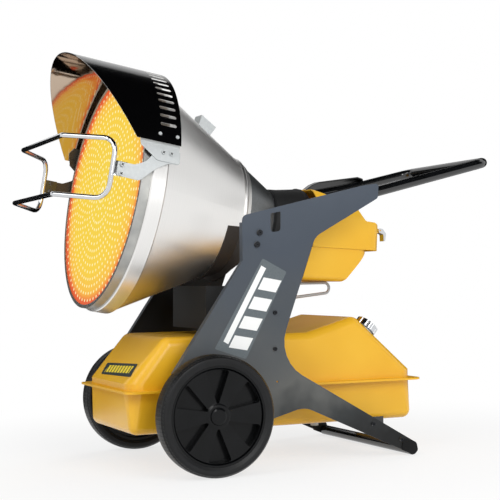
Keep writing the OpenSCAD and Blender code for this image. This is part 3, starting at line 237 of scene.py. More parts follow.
def yellow_stoving_enamel():
    """Stoving enamel on pressed steel: warm yellow, an even gloss with a faint orange peel."""
    material, tree, surface, place, _ = start(
        "yellow_stoving_enamel", Roughness=0.26, **{"Specular IOR Level": 0.5})
    # the paint's thickness changes its warmth, in clouds some 150 mm across
    cloud = add(tree, "ShaderNodeTexNoise", {"Vector": place, "Scale": 6.0, "Detail": 2.0})
    tone = add(tree, "ShaderNodeValToRGB", {0: cloud}, stops=[(0.3, "#e9b022"), (0.7, "#efb92c")])
    peel = add(tree, "ShaderNodeTexNoise", {"Vector": place, "Scale": 420.0, "Detail": 2.0})
    bump = add(tree, "ShaderNodeBump", {"Strength": 0.04, "Distance": 0.0004, "Height": peel})
    join(tree, surface, Base_Color=tone, Normal=bump)
    return material


def spun_stainless():
    """Stainless sheet, spun and satin polished: fine rings round the head's axis spread its gloss."""
    material, tree, surface, place, _ = start("spun_stainless", Metallic=1.0)
    station = add(tree, "ShaderNodeSeparateXYZ", {0: head_space(tree, place)}).outputs[1]
    # the polishing rings are about 0.4 mm apart, and are drawn at 1.5 mm so that they show
    rings = add(tree, "ShaderNodeTexNoise", {"W": station, "Scale": 660.0, "Detail": 3.0},
                noise_dimensions="1D")
    tone = add(tree, "ShaderNodeValToRGB", {0: rings}, stops=[(0.25, "#eae9e7"), (0.8, "#f4f3f1")])
    gloss = add(tree, "ShaderNodeMapRange", {0: rings, 1: 0.2, 2: 0.8, 3: 0.31, 4: 0.36})
    join(tree, surface, Base_Color=tone, Roughness=gloss)
    return material


def heat_tinted_ring():
    """Rolled steel ring round the disc, dulled by its heat: satin grey in darker and paler clouds."""
    material, tree, surface, place, _ = start("tempered_ring_steel", Metallic=1.0, Roughness=0.34)
    # the clouds are some 40 mm across
    cloud = add(tree, "ShaderNodeTexNoise", {"Vector": place, "Scale": 24.0, "Detail": 4.0})
    tone = add(tree, "ShaderNodeValToRGB", {0: cloud}, stops=[(0.3, "#a8a9a7"), (0.7, "#c2c2be")])
    join(tree, surface, Base_Color=tone)
    return material


def chrome_plate():
    """Chrome plate over polished rod and castings: a cold clean mirror, dulled a little by hands."""
    material, tree, surface, place, _ = start("chrome_plate")
    # finger marks, about 11 mm apart
    marks = add(tree, "ShaderNodeTexNoise", {"Vector": place, "Scale": 90.0, "Detail": 4.0})
    gloss = add(tree, "ShaderNodeMapRange", {0: marks, 1: 0.3, 2: 0.8, 3: 0.05, 4: 0.13})
    # the tabs face each other across the disc, and painted shade makes their inner sides dull brown
    inward = inner_side(tree, place, 0.985)
    tone = add(tree, "ShaderNodeMix", {
        0: inward, 6: colour("#d2d4d7"), 7: colour("#4a443b")}, data_type="RGBA")
    shine = add(tree, "ShaderNodeMath", {0: 1.0, 1: inward}, operation="SUBTRACT")
    join(tree, surface, Base_Color=tone.outputs[2], Roughness=gloss, Metallic=shine)
    return material


def zinc_plate():
    """Zinc plated steel strip: pale matt silver, faintly spangled, with painted shade where it faces
    the disc.
    """
    material, tree, surface, place, _ = start("zinc_plate", Metallic=0.35, Roughness=0.5)
    # crystals of the plating, about 6 mm across
    spangle = add(tree, "ShaderNodeTexVoronoi", {"Vector": place, "Scale": 160.0}).outputs["Color"]
    tone = add(tree, "ShaderNodeValToRGB", {0: spangle}, stops=[(0.2, "#b9bdbe"), (0.9, "#c0c4c4")])
    # painted shade: the faces toward the disc are painted a dark brown
    inward = inner_side(tree, place, 0.2)
    disc_side_shade = add(tree, "ShaderNodeMix", {0: inward, 6: tone, 7: colour("#453f37")}, data_type="RGBA")
    join(tree, surface, Base_Color=disc_side_shade.outputs[2])
    return material


def hood_sheet():
    """Hood: black enamel outside, mirror polished stainless inside, bare bright cut edges."""
    material, tree, surface, place, out = start("hood_enamel_and_polish", Roughness=0.16, **{
        "Base Color": colour("#040405"), "Specular IOR Level": 0.2})
    # the direction away from the head's axis tells the sheet's two sides and its cut edge apart
    spot = head_space(tree, place)
    flat = add(tree, "ShaderNodeVectorMath", {0: spot, 1: (1, 0, 1)}, operation="MULTIPLY")
    flat = add(tree, "ShaderNodeVectorRotate", {"Vector": flat, "Angle": -TILT},
               rotation_type="X_AXIS")
    away = add(tree, "ShaderNodeVectorMath", {0: flat}, operation="NORMALIZE")
    facing = add(tree, "ShaderNodeNewGeometry").outputs["True Normal"]
    side = add(tree, "ShaderNodeVectorMath", {0: facing, 1: away}, operation="DOT_PRODUCT")
    side = side.outputs["Value"]
    # the rolled sheet ripples a little, some 70 mm from crest to crest
    ripple = add(tree, "ShaderNodeTexNoise", {"Vector": place, "Scale": 14.0, "Detail": 1.0})
    bump = add(tree, "ShaderNodeBump", {"Strength": 0.25, "Distance": 0.0015, "Height": ripple})
    mirror = add(tree, "ShaderNodeBsdfPrincipled", {
        "Base Color": colour("#c4b09c"), "Metallic": 1.0, "Roughness": 0.07, "Normal": bump})
    edge = add(tree, "ShaderNodeBsdfPrincipled", {
        "Base Color": colour("#e4e4e2"), "Metallic": 0.6, "Roughness": 0.35})
    inside = add(tree, "ShaderNodeMath", {0: side, 1: -0.5}, operation="LESS_THAN")
    thin = add(tree, "ShaderNodeMath", {0: side}, operation="ABSOLUTE")
    cut = add(tree, "ShaderNodeMath", {0: thin, 1: 0.5}, operation="LESS_THAN")
    sheet = add(tree, "ShaderNodeMixShader", {0: inside, 1: surface, 2: mirror})
    whole = add(tree, "ShaderNodeMixShader", {0: cut, 1: sheet, 2: edge})
    join(tree, out, Surface=whole)
    return material


def glowing_burner_disc():
    """Perforated stainless disc at working heat: yellow glow, paler holes in rings, red rim."""
    material, tree, surface, place, _ = start("glowing_burner_disc", Roughness=0.7, **{
        "Base Color": colour("#120a04"), "Emission Strength": 1.0})
    spot = head_space(tree, place)
    flat = add(tree, "ShaderNodeVectorMath", {0: spot, 1: (1, 0, 1)}, operation="MULTIPLY")
    radius = add(tree, "ShaderNodeVectorMath", {0: flat}, operation="LENGTH").outputs["Value"]
    parts = add(tree, "ShaderNodeSeparateXYZ", {0: spot}).outputs
    # rings of 8 mm holes 18.5 mm apart: 16 to a ring in the inner four, 20 more in each next four
    pitch, hole_r = 0.0185, 0.0041
    zone_rings, first_count, more = 4.0, 16.0, 20.0
    ring = add(tree, "ShaderNodeMath", {0: radius, 1: pitch}, operation="DIVIDE")
    depth = add(tree, "ShaderNodeMath", {0: ring}, operation="FRACT")
    across = add(tree, "ShaderNodeMath", {0: depth, 1: pitch, 2: -pitch / 2}, operation="MULTIPLY_ADD")
    ring = add(tree, "ShaderNodeMath", {0: ring}, operation="FLOOR")
    zone = add(tree, "ShaderNodeMath", {0: ring, 1: zone_rings}, operation="DIVIDE")
    zone = add(tree, "ShaderNodeMath", {0: zone}, operation="FLOOR")
    count = add(tree, "ShaderNodeMath", {0: zone, 1: more, 2: first_count}, operation="MULTIPLY_ADD")
    turn = add(tree, "ShaderNodeMath", {0: parts[2], 1: parts[0]}, operation="ARCTAN2")
    turn = add(tree, "ShaderNodeMath", {0: turn, 1: 1 / math.tau, 2: 1.0},
               operation="MULTIPLY_ADD")
    # each of the inner twelve rings is set half a step round from the last
    inner = add(tree, "ShaderNodeMath", {0: ring, 1: 11.5}, operation="LESS_THAN")
    shift = add(tree, "ShaderNodeMath", {0: ring, 1: 0.5}, operation="MULTIPLY")
    shift = add(tree, "ShaderNodeMath", {0: shift, 1: inner}, operation="MULTIPLY")
    step = add(tree, "ShaderNodeMath", {0: turn, 1: count, 2: shift}, operation="MULTIPLY_ADD")
    step = add(tree, "ShaderNodeMath", {0: step}, operation="FRACT")
    step = add(tree, "ShaderNodeMath", {0: step, 1: 0.5}, operation="SUBTRACT")
    arc = add(tree, "ShaderNodeMath", {0: radius, 1: count}, operation="DIVIDE")
    arc = add(tree, "ShaderNodeMath", {0: arc, 1: math.tau}, operation="MULTIPLY")
    along = add(tree, "ShaderNodeMath", {0: step, 1: arc}, operation="MULTIPLY")
    away = add(tree, "ShaderNodeCombineXYZ", {0: along, 1: across})
    gap = add(tree, "ShaderNodeVectorMath", {0: away}, operation="LENGTH").outputs["Value"]
    dots = add(tree, "ShaderNodeMapRange", {0: gap, 1: hole_r * 0.75, 2: hole_r * 1.1, 3: 1.0, 4: 0.0})
    # the flame behind the sheet wanders in clouds some 80 mm across
    cloud = add(tree, "ShaderNodeTexNoise", {"Vector": place, "Scale": 12.0, "Detail": 3.0})
    spread = add(tree, "ShaderNodeMath", {0: radius, 1: 1 / (DISC_R * MM)}, operation="MULTIPLY")
    spread = add(tree, "ShaderNodeMath", {0: cloud, 1: 0.08, 2: spread}, operation="MULTIPLY_ADD")
    glow = add(tree, "ShaderNodeValToRGB", {0: spread}, stops=[
        (0.0, "#f0d03a"), (0.75, "#f4cc38"), (0.92, "#f4bb3c"), (0.98, "#ee8632"),
        (1.0, "#e05a2a")])
    lit = add(tree, "ShaderNodeMix", {0: dots, 6: glow, 7: colour("#fff2b4")}, data_type="RGBA")
    join(tree, surface, Emission_Color=lit.outputs[2])
    return material


def small_stuff(name, code, rough, metal=0.0, scale=300.0):
    """A small or half hidden piece: its own colour, mottled, with a grain 1 / scale metres across."""
    material, tree, surface, place, _ = start(name, Roughness=rough, Metallic=metal)
    grain = add(tree, "ShaderNodeTexNoise", {"Vector": place, "Scale": scale, "Detail": 3.0})
    dark = "#" + "".join("%02x" % round(int(code[i:i + 2], 16) * 0.88) for i in (1, 3, 5))
    tone = add(tree, "ShaderNodeValToRGB", {0: grain}, stops=[(0.25, dark), (0.7, code)])
    bump = add(tree, "ShaderNodeBump", {"Strength": 0.1, "Distance": 0.0003, "Height": grain})
    join(tree, surface, Base_Color=tone, Normal=bump)
    return material


def braided_hose():
    """Steel braid over a fuel hose: bright crossing strands, which glint in short steps."""
    material, tree, surface, place, _ = start("steel_braid", Metallic=0.8, Roughness=0.4)
    parts = add(tree, "ShaderNodeSeparateXYZ", {0: place}).outputs
    # a strand is half a wave of the pattern, about 1.2 mm wide
    strand_turn = 2600.0
    crossed = []
    for way in ("ADD", "SUBTRACT"):
        strand = add(tree, "ShaderNodeMath", {0: parts[1], 1: parts[0]}, operation=way)
        strand = add(tree, "ShaderNodeMath", {0: strand, 1: strand_turn}, operation="MULTIPLY")
        crossed.append(add(tree, "ShaderNodeMath", {0: strand}, operation="SINE"))
    weave = add(tree, "ShaderNodeMath", {0: crossed[0], 1: crossed[1]}, operation="MULTIPLY")
    tone = add(tree, "ShaderNodeValToRGB", {0: weave}, stops=[(0.1, "#a2a4a6"), (0.6, "#e6e7e8")])
    bump = add(tree, "ShaderNodeBump", {"Strength": 0.5, "Distance": 0.0006, "Height": weave})
    join(tree, surface, Base_Color=tone, Normal=bump)
    return material


# A finish for each material slot of the record
FINISH = {
    "slate_paint": slate_powder_coat(),
    "black_paint": black_stoving_enamel(),
    "black_plastic": moulded_nylon(),
    "tyre_rubber": solid_rubber(),
    "tank_yellow": yellow_stoving_enamel(),
    "plated_steel": zinc_plate(),
    "stainless": spun_stainless(),
    "rim_steel": heat_tinted_ring(),
    "chrome": chrome_plate(),
    "glowing_disc": glowing_burner_disc(),
    "hose_braid": braided_hose(),
    # screw steel blackened in oil: nearly black, with a dull metal glint
    "dark_screws": small_stuff("blackened_steel", "#26282c", 0.35, 0.7),
    # pressed rock fibre: cream, without any gloss
    "mineral_wool": small_stuff("mineral_wool_felt", "#d9d4c4", 0.9),
    # turned brass: warm and golden, half bright
    "brass_fittings": small_stuff("machined_brass", "#b08a3c", 0.32, 1.0),
    # glazed insulators: creamy white and wet looking
    "ceramic": small_stuff("glazed_ceramic", "#e6e2d8", 0.2),
    # brushed machine paint: dark grey, half matt
    "motor_paint": small_stuff("grey_motor_paint", "#33363a", 0.45),
    # aluminium cast in sand: pale warm grey, with the sand's coarse grain
    "cast_alloy": small_stuff("sand_cast_alloy", "#a9a59b", 0.5, 0.9, 180.0),
    # moulded and coloured through: bright red, smooth
    "red_plastic": small_stuff("red_switch_plastic", "#c8281e", 0.3),
}
# heatproof paint: a black that shows hardly any light
MATT_BLACK = small_stuff("matt_black_paint", "#0a0b0c", 0.7)
# Nodes whose look differs from the rest of their slot
OWN_FINISH = {
    "hood": hood_sheet(),
    # stainless sheet in a darker, duller grey than the front cone
    "rear_cone": small_stuff("dulled_steel_sheet", "#85888a", 0.36, 1.0),
    "control_box": MATT_BLACK,
    "fan_housing": MATT_BLACK,
    # black paint baked brown under the hot cone
    "head_cradle": small_stuff("heat_browned_paint", "#2b221b", 0.6),
    "sensor_box": FINISH["plated_steel"],
    "head_screws": FINISH["plated_steel"],
}
slots = {part["node"]: part["material_slot"] for part in frame["record"]["subparts"]}
for name, node in frame["nodes"].items():
    finish = OWN_FINISH.get(name) or FINISH[slots[name]]
    node.data.materials.clear()
    node.data.materials.append(finish)


# Pieces

def smooth_skin(source, body, angle, reshape=None):
    """A solid drawn again with its triangles joined, so that its gloss runs round it unbroken."""
    bpy.ops.object.select_all(action="DESELECT")
    node = frame["nodes"][source]
    piece = node.copy()
    piece.data = node.data.copy()
    piece.name = source + "_skin"
    piece.parent = None
    bpy.context.scene.collection.objects.link(piece)
    bpy.context.view_layer.objects.active = piece
    piece.select_set(True)
    bpy.ops.mesh.customdata_custom_splitnormals_clear()
    bpy.ops.object.mode_set(mode="EDIT")
    bpy.ops.mesh.select_all(action="SELECT")
    bpy.ops.mesh.remove_doubles(threshold=0.00002)
    bpy.ops.mesh.tris_convert_to_quads(
        face_threshold=math.radians(2), shape_threshold=math.radians(60))
    if reshape:
        reshape(piece)
    bpy.ops.object.mode_set(mode="OBJECT")
    bpy.ops.object.shade_smooth_by_angle(angle=math.radians(angle))
    even = piece.modifiers.new("even_faces", "WEIGHTED_NORMAL")
    even.keep_sharp = True
    bpy.ops.object.modifier_apply(modifier=even.name)
    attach(piece, body)
    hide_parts(source)


def pick(piece, kind, test):
    """In edit mode, selects the verts, edges or faces whose middle passes the test."""
    bpy.context.tool_settings.mesh_select_mode = [kind == k for k in ("verts", "edges", "faces")]
    bpy.ops.mesh.select_all(action="DESELECT")
    mesh = bmesh.from_edit_mesh(piece.data)
    for part in getattr(mesh, kind):
        corners = [part] if kind == "verts" else part.verts
        if test(sum((corner.co for corner in corners), Vector()) / len(corners)):
            part.select_set(True)
    mesh.select_flush_mode()
    bmesh.update_edit_mesh(piece.data)


def begin(name):
    """The primitive just added becomes a named piece, open for shaping."""
    piece = bpy.context.active_object
    piece.name = piece.data.name = name
    bpy.ops.object.mode_set(mode="EDIT")
    return piece


def end(piece, finish):
    """Closes a piece's shaping, puts its place into its mesh and hangs it on the chassis."""
    bpy.ops.mesh.select_all(action="SELECT")
    bpy.ops.mesh.normals_make_consistent(inside=False)
    bpy.ops.object.mode_set(mode="OBJECT")
    bpy.ops.object.transform_apply(location=True, rotation=True, scale=True)
    bpy.ops.object.shade_smooth_by_angle(angle=math.radians(30))
    piece.data.materials.append(finish)
    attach(piece, "chassis")


def printed_sheet(name, corners, outward, finish, radius=0.004):
    """A printed polyester sheet on flat metal: its four corners, rounded, and its thickness."""
    thick = 0.0003
    bpy.ops.object.select_all(action="DESELECT")
    # it starts far larger than the sheet, so that no corner already moved is picked again
    bpy.ops.mesh.primitive_plane_add(size=20, location=(0, 0, 0))
    piece = begin(name)
    for (a, b), corner in zip(((-10, 10), (10, 10), (10, -10), (-10, -10)), corners):
        pick(piece, "verts", lambda spot: (spot - Vector((a, b, 0))).length < 0.1)
        bpy.ops.transform.translate(value=corner - Vector((a, b, 0)))
    bpy.ops.mesh.select_all(action="SELECT")
    bpy.ops.mesh.bevel(offset=radius, segments=4, affect="VERTICES")
    bpy.ops.mesh.select_all(action="SELECT")
    bpy.ops.mesh.extrude_region_move(TRANSFORM_OT_translate={"value": outward * thick})
    end(piece, finish)


def plate_label_print():
    """Print on grey polyester for the side plates: a white rule and four plain slanted bars."""
    material, tree, surface, place, _ = start(
        "plate_label_print", Roughness=0.38, **{"Specular IOR Level": 0.35})
    # the label's own frame: metres up its length from its middle, and across it toward the front
    middle = chassis(0, 119.5, 407.75)
    moved = add(tree, "ShaderNodeVectorMath", {0: place, 1: middle}, operation="SUBTRACT")
    rise = math.atan2(222.5, 122.0) + LEAN
    turned = add(tree, "ShaderNodeVectorRotate", {"Vector": moved, "Angle": -rise},
                 rotation_type="X_AXIS")
    axes = add(tree, "ShaderNodeSeparateXYZ", {0: turned}).outputs
    up, front = axes[1], axes[2]
    slant = add(tree, "ShaderNodeMath", {0: front, 1: 0.35, 2: up}, operation="MULTIPLY_ADD")
    # four bars 34 mm wide on a pitch of 55 mm
    pitch, share, half_length = 0.055, 0.62, 0.110
    beat = add(tree, "ShaderNodeMath", {0: slant, 1: 1 / pitch, 2: 2.0}, operation="MULTIPLY_ADD")
    beat = add(tree, "ShaderNodeMath", {0: beat}, operation="FRACT")
    bars = add(tree, "ShaderNodeMath", {0: beat, 1: share}, operation="LESS_THAN")
    reach = add(tree, "ShaderNodeMath", {0: slant}, operation="ABSOLUTE")
    ends = add(tree, "ShaderNodeMath", {0: reach, 1: half_length}, operation="LESS_THAN")
    bars = add(tree, "ShaderNodeMath", {0: bars, 1: ends}, operation="MULTIPLY")
    # they are 48 mm long, across the label's rear part
    low = add(tree, "ShaderNodeMath", {0: front, 1: -0.036}, operation="GREATER_THAN")
    high = add(tree, "ShaderNodeMath", {0: front, 1: 0.012}, operation="LESS_THAN")
    bars = add(tree, "ShaderNodeMath", {0: bars, 1: low}, operation="MULTIPLY")
    bars = add(tree, "ShaderNodeMath", {0: bars, 1: high}, operation="MULTIPLY")
    # the rule is 15 mm wide and 216 mm long, in front of the bars
    rule = add(tree, "ShaderNodeMath", {0: front, 1: 0.0245, 2: 0.0075}, operation="COMPARE")
    length = add(tree, "ShaderNodeMath", {0: up, 1: 0.0, 2: 0.108}, operation="COMPARE")
    rule = add(tree, "ShaderNodeMath", {0: rule, 1: length}, operation="MULTIPLY")
    white = add(tree, "ShaderNodeMath", {0: rule, 1: bars}, operation="MAXIMUM")
    # thin places in the grey ink, some 4 mm across
    ink = add(tree, "ShaderNodeTexNoise", {"Vector": place, "Scale": 250.0, "Detail": 3.0})
    grey = add(tree, "ShaderNodeValToRGB", {0: ink}, stops=[(0.3, "#5a6266"), (0.7, "#646c70")])
    tone = add(tree, "ShaderNodeMix", {0: white, 6: grey, 7: colour("#f1f2f1")}, data_type="RGBA")
    join(tree, surface, Base_Color=tone.outputs[2])
    return material


def tank_label_print():
    """Print on black polyester for the tank's front slope: a row of plain slanted yellow bars."""
    material, tree, surface, place, _ = start(
        "tank_label_print", Roughness=0.35, **{"Specular IOR Level": 0.35})
    axes = add(tree, "ShaderNodeSeparateXYZ", {0: place}).outputs
    slant = add(tree, "ShaderNodeMath", {0: axes[2], 1: 0.5, 2: axes[0]}, operation="MULTIPLY_ADD")
    # bars 15 mm wide on a pitch of 21 mm, in a row 17 mm high and 180 mm long
    pitch, share = 0.021, 0.72
    beat = add(tree, "ShaderNodeMath", {0: slant, 1: 1 / pitch}, operation="MULTIPLY")
    beat = add(tree, "ShaderNodeMath", {0: beat}, operation="FRACT")
    bars = add(tree, "ShaderNodeMath", {0: beat, 1: share}, operation="LESS_THAN")
    # the sheet is stuck on a little askew, and its bars with it
    level = tank(0, -150.7, 252.5).z
    row = add(tree, "ShaderNodeMath", {0: axes[0], 1: -0.041, 2: axes[2]}, operation="MULTIPLY_ADD")
    band = add(tree, "ShaderNodeMath", {0: row, 1: level, 2: 0.0085}, operation="COMPARE")
    length = add(tree, "ShaderNodeMath", {0: axes[0], 1: 0.020, 2: 0.090}, operation="COMPARE")
    bars = add(tree, "ShaderNodeMath", {0: bars, 1: band}, operation="MULTIPLY")
    bars = add(tree, "ShaderNodeMath", {0: bars, 1: length}, operation="MULTIPLY")
    ink = add(tree, "ShaderNodeTexNoise", {"Vector": place, "Scale": 250.0, "Detail": 3.0})
    black = add(tree, "ShaderNodeValToRGB", {0: ink}, stops=[(0.3, "#222a28"), (0.7, "#2b3432")])
    tone = add(tree, "ShaderNodeMix", {0: bars, 6: black, 7: colour("#f4d92e")}, data_type="RGBA")
    join(tree, surface, Base_Color=tone.outputs[2])
    return material


def labels():
    """A label on the outside of each side plate, and one on the tank's front slope."""
    plate_print = plate_label_print()
    for name, side in (("left", 1), ("right", -1)):
        corners = [chassis(side * PLATE_X, y, z)
                   for y, z in ((147, 536), (214, 502), (101, 283), (16, 310))]
        printed_sheet("plate_label_" + name, corners, Vector((side, 0, 0)), plate_print)
    # corners on the slope: across the tank, and up the slope from a point just over its foot
    slope, foot_y, foot_z = math.radians(48.46), -165.0, 236.4
    corners = [tank(x, foot_y + along * math.cos(slope), foot_z + along * math.sin(slope))
               for x, along in ((-102, 35), (124, 47), (141, 6), (-82, -2))]
    outward = (corners[2] - corners[1]).cross(corners[1] - corners[0]).normalized()
    # the slope is not quite flat, so the sheet lies a fifth of a millimetre over it
    corners = [corner + outward * 0.0002 for corner in corners]
    printed_sheet("tank_label", corners, outward, tank_label_print(), radius=0.006)


def cover_place(spot):
    """How far a point lies behind the covers' front seam and over their joint, in millimetres."""
    seam = cover(0, 0, 0)
    behind, over = (cover(0, 1, 0) - seam) / MM, (cover(0, 0, 1) - seam) / MM
    return (spot - seam).dot(behind) / MM, (spot - seam).dot(over) / MM


def shorten_roof(piece):
    """The upper cover's roof breaks off sooner and leaves a longer shelf above the latches."""
    roof = 74
    # corners that lie from near to far behind the seam, and how far back and up they move
    for near, far, shift in ((130, 153, (-28.7, 11.9)), (153, 172, (-19.7, -0.2))):
        pick(piece, "verts", lambda spot: (
            near < cover_place(spot)[0] < far and cover_place(spot)[1] > roof))
        bpy.ops.transform.translate(value=cover(0, *shift) - cover(0, 0, 0))


def slim_tray(piece):
    """The lower tray ends short of the upper cover's rear, and reaches under the fan housing."""
    rear, front, floor = 60, -10, -60
    pick(piece, "verts", lambda spot: cover_place(spot)[0] > rear)
    bpy.ops.transform.translate(value=cover(0, -12.8, 0) - cover(0, 0, 0))
    pick(piece, "verts", lambda spot: (
        cover_place(spot)[0] < front and cover_place(spot)[1] < floor))
    bpy.ops.transform.translate(value=cover(0, -13.4, 0) - cover(0, 0, 0))


def soften_wheel(piece):
    """The mould's edges are rounded by a millimetre, so that they glint."""
    bpy.context.tool_settings.mesh_select_mode = (False, True, False)
    bpy.ops.mesh.select_all(action="DESELECT")
    bpy.ops.mesh.edges_select_sharp(sharpness=math.radians(35))
    bpy.ops.mesh.bevel(offset=0.001, segments=2, affect="EDGES", clamp_overlap=True)


def recess_shade_cross():
    """A thin black cross, painted shade for the cross recess of a screw, some 7 mm over its bars: drawn
    once, at the origin.
    """
    bar, arm, proud = 0.002, 0.0026, 0.0002
    bpy.ops.object.select_all(action="DESELECT")
    bpy.ops.mesh.primitive_plane_add(size=bar, location=(0, 0, 0))
    piece = begin("screw_recess_shade")
    for way in (Vector((1, 0, 0)), Vector((0, 1, 0)), Vector((-1, 0, 0)), Vector((0, -1, 0))):
        pick(piece, "edges", lambda spot: (spot - way * bar / 2).length < 0.0001)
        bpy.ops.mesh.extrude_region_move(TRANSFORM_OT_translate={"value": way * arm})
    bpy.ops.mesh.select_all(action="SELECT")
    bpy.ops.mesh.extrude_region_move(TRANSFORM_OT_translate={"value": (0, 0, proud)})
    # black paint here is the painted shade of the recess
    end(piece, MATT_BLACK)
    return piece


def screw_crosses():
    """A painted shade cross on each screw of the guard straps and the hood brackets, laid on the head
    where it is.
    """
    screws = frame["nodes"]["head_screws"]
    # how far out a screw is looked for from, how far its cross lies off it, and the cross's turn
    away, clear, askew = 0.5, 0.00002, 0.5
    # side of the head, middle of the screw on the head's axis plane, and its lean up from level
    places = []
    for side in (-1, 1):
        places += [(side, head(0, -56, height), 0.0) for height in (11, 33)]
        places += [(side, head(0, station, 0), 15.0) for station in (44, 64)]
    crosses = [recess_shade_cross()]
    for _ in places[1:]:
        crosses.append(crosses[0].copy())
        crosses[-1].data = crosses[0].data.copy()
        bpy.context.scene.collection.objects.link(crosses[-1])
    for letter, cross, (side, middle, lean) in zip("abcdefgh", crosses, places):
        slant = math.radians(lean)
        outward = Vector((side * math.cos(slant), 0, math.sin(slant)))
        outward = Matrix.Rotation(-TILT, 3, "X") @ outward
        _, spot, normal, _ = screws.ray_cast(middle + outward * away, -outward)
        cross.name = cross.data.name = "screw_recess_shade_" + letter
        cross.parent = None
        turn = normal.to_track_quat("Z", "Y").to_matrix().to_4x4() @ Matrix.Rotation(askew, 4, "Z")
        cross.matrix_world = Matrix.Translation(spot + normal * clear) @ turn
        bpy.ops.object.select_all(action="DESELECT")
        cross.select_set(True)
        bpy.context.view_layer.objects.active = cross
        bpy.ops.object.transform_apply(location=True, rotation=True, scale=True)
        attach(cross, "chassis")


def cord_saddle():
    """The hook on the right arm of the handle, for a coiled lead: a pressed channel, open inward."""
    outline = ((503, 748), (531, 769), (553, 778), (618, 787.5), (684, 797), (702, 792),
               (705, 778), (697, 764), (676, 764), (657, 762), (560, 741), (520, 736))
    far_side, wide, floor, wall = -250, 33, 5, 3.5
    # a filled circle to start with, whose corners are then set on the outline one by one
    radius = 0.05
    bpy.ops.object.select_all(action="DESELECT")
    bpy.ops.mesh.primitive_circle_add(
        vertices=len(outline), radius=radius, fill_type="NGON", location=(0, 0, 0))
    piece = begin("cord_saddle")
    for step, (y, z) in enumerate(outline):
        turn = math.tau * step / len(outline)
        rim = Vector((math.cos(turn), math.sin(turn), 0)) * radius
        pick(piece, "verts", lambda spot: (spot - rim).length < 0.001)
        bpy.ops.transform.translate(value=chassis(far_side, y, z) - rim)
    bpy.ops.mesh.select_all(action="SELECT")
    bpy.ops.mesh.extrude_region_move(TRANSFORM_OT_translate={"value": (wide * MM, 0, 0)})
    pick(piece, "faces", lambda spot: spot.x > (far_side + wide - 0.5) * MM)
    bpy.ops.mesh.inset(thickness=wall * MM)
    bpy.ops.mesh.extrude_region_move(
        TRANSFORM_OT_translate={"value": ((floor - wide) * MM, 0, 0)})
    bpy.ops.mesh.select_all(action="SELECT")
    bpy.ops.mesh.normals_make_consistent(inside=False)
    bpy.ops.mesh.bevel(offset=0.001, segments=2, affect="EDGES")
    end(piece, FINISH["black_paint"])
    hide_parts("cord_hook")


labels()
cord_saddle()
screw_crosses()
# each solid to smooth, its body, the sharpest edge that still shades round, and how it is reshaped
for source, body, angle, reshape in (
        ("guard", "chassis", 40, None),
        ("handle", "chassis", 32, None),
        ("fuel_hose", "chassis", 50, None),
        ("tank_upper", "chassis", 24, None),
        ("tank_lower", "chassis", 24, None),
        ("wheel_left", "wheel_left_assembly", 35, soften_wheel),
        ("wheel_right", "wheel_right_assembly", 35, soften_wheel),
        ("upper_cover", "cover", 24, shorten_roof),
        ("lower_cover", "chassis", 24, slim_tray)):
    smooth_skin(source, body, angle, reshape)


# Camera and light

def studio_world():
    """An even white room: it lights softly, and the camera and the polished metal see white."""
    world = bpy.data.worlds.new("studio")
    bpy.context.scene.world = world
    world.use_nodes = True
    tree = world.node_tree
    tree.nodes.clear()
    ray = add(tree, "ShaderNodeLightPath").outputs
    straight = add(tree, "ShaderNodeMath", {
        0: ray["Is Camera Ray"], 1: ray["Is Glossy Ray"]}, operation="MAXIMUM")
    straight = add(tree, "ShaderNodeMath", {
        0: straight, 1: ray["Is Transmission Ray"]}, operation="MAXIMUM")
    light = add(tree, "ShaderNodeBackground", {"Color": (1, 1, 1, 1), "Strength": 0.5})
    shown = add(tree, "ShaderNodeBackground", {"Color": (1, 1, 1, 1), "Strength": 1.0})
    both = add(tree, "ShaderNodeMixShader", {0: straight, 1: light, 2: shown})
    add(tree, "ShaderNodeOutputWorld", {"Surface": both})


def studio_floor():
    """A pale paper floor: it keeps the heater's soft shadow and turns white away from it."""
    bpy.ops.mesh.primitive_circle_add(vertices=96, radius=14, fill_type="NGON", location=(0, 0, 0))
    floor = bpy.context.active_object
    floor.name = "studio_floor"
    material, tree, surface, place, out = start("paper_floor", Roughness=0.95, **{
        "Base Color": colour("#f4f4f4"), "Specular IOR Level": 0.1})
    ray = add(tree, "ShaderNodeLightPath").outputs
    seen = add(tree, "ShaderNodeMath", {
        0: ray["Is Camera Ray"], 1: ray["Is Glossy Ray"]}, operation="MAXIMUM")
    # near the heater 28 % of the paper's own shade shows, and past 1.5 m it is all white
    near, far, least = 0.5, 1.5, 0.72
    reach = add(tree, "ShaderNodeVectorMath", {0: place}, operation="LENGTH").outputs["Value"]
    white = add(tree, "ShaderNodeMapRange", {0: reach, 1: near, 2: far, 3: least, 4: 1.0},
                interpolation_type="SMOOTHSTEP")
    lift = add(tree, "ShaderNodeMath", {0: seen, 1: white}, operation="MULTIPLY")
    glow = add(tree, "ShaderNodeEmission", {"Color": (1, 1, 1, 1), "Strength": 1.0})
    both = add(tree, "ShaderNodeMixShader", {0: lift, 1: surface, 2: glow})
    join(tree, out, Surface=both)
    floor.data.materials.append(material)


def dark_card(name, spot, size, aim, shade="#060606"):
    """A felt board out of view, which only polished surfaces show, as a photographer hangs it."""
    bpy.ops.mesh.primitive_plane_add(size=1, location=(0, 0, 0))
    card = bpy.context.active_object
    card.name = name
    card.scale = (size[0], size[1], 1)
    card.rotation_euler = (Vector(aim) - Vector(spot)).to_track_quat("-Z", "Y").to_euler()
    card.location = spot
    card.visible_camera = card.visible_diffuse = card.visible_shadow = False
    card.visible_transmission = card.visible_volume_scatter = False
    felt, *_ = start(name + "_felt", Roughness=1.0, **{
        "Base Color": colour(shade), "Specular IOR Level": 0.0})
    card.data.materials.append(felt)


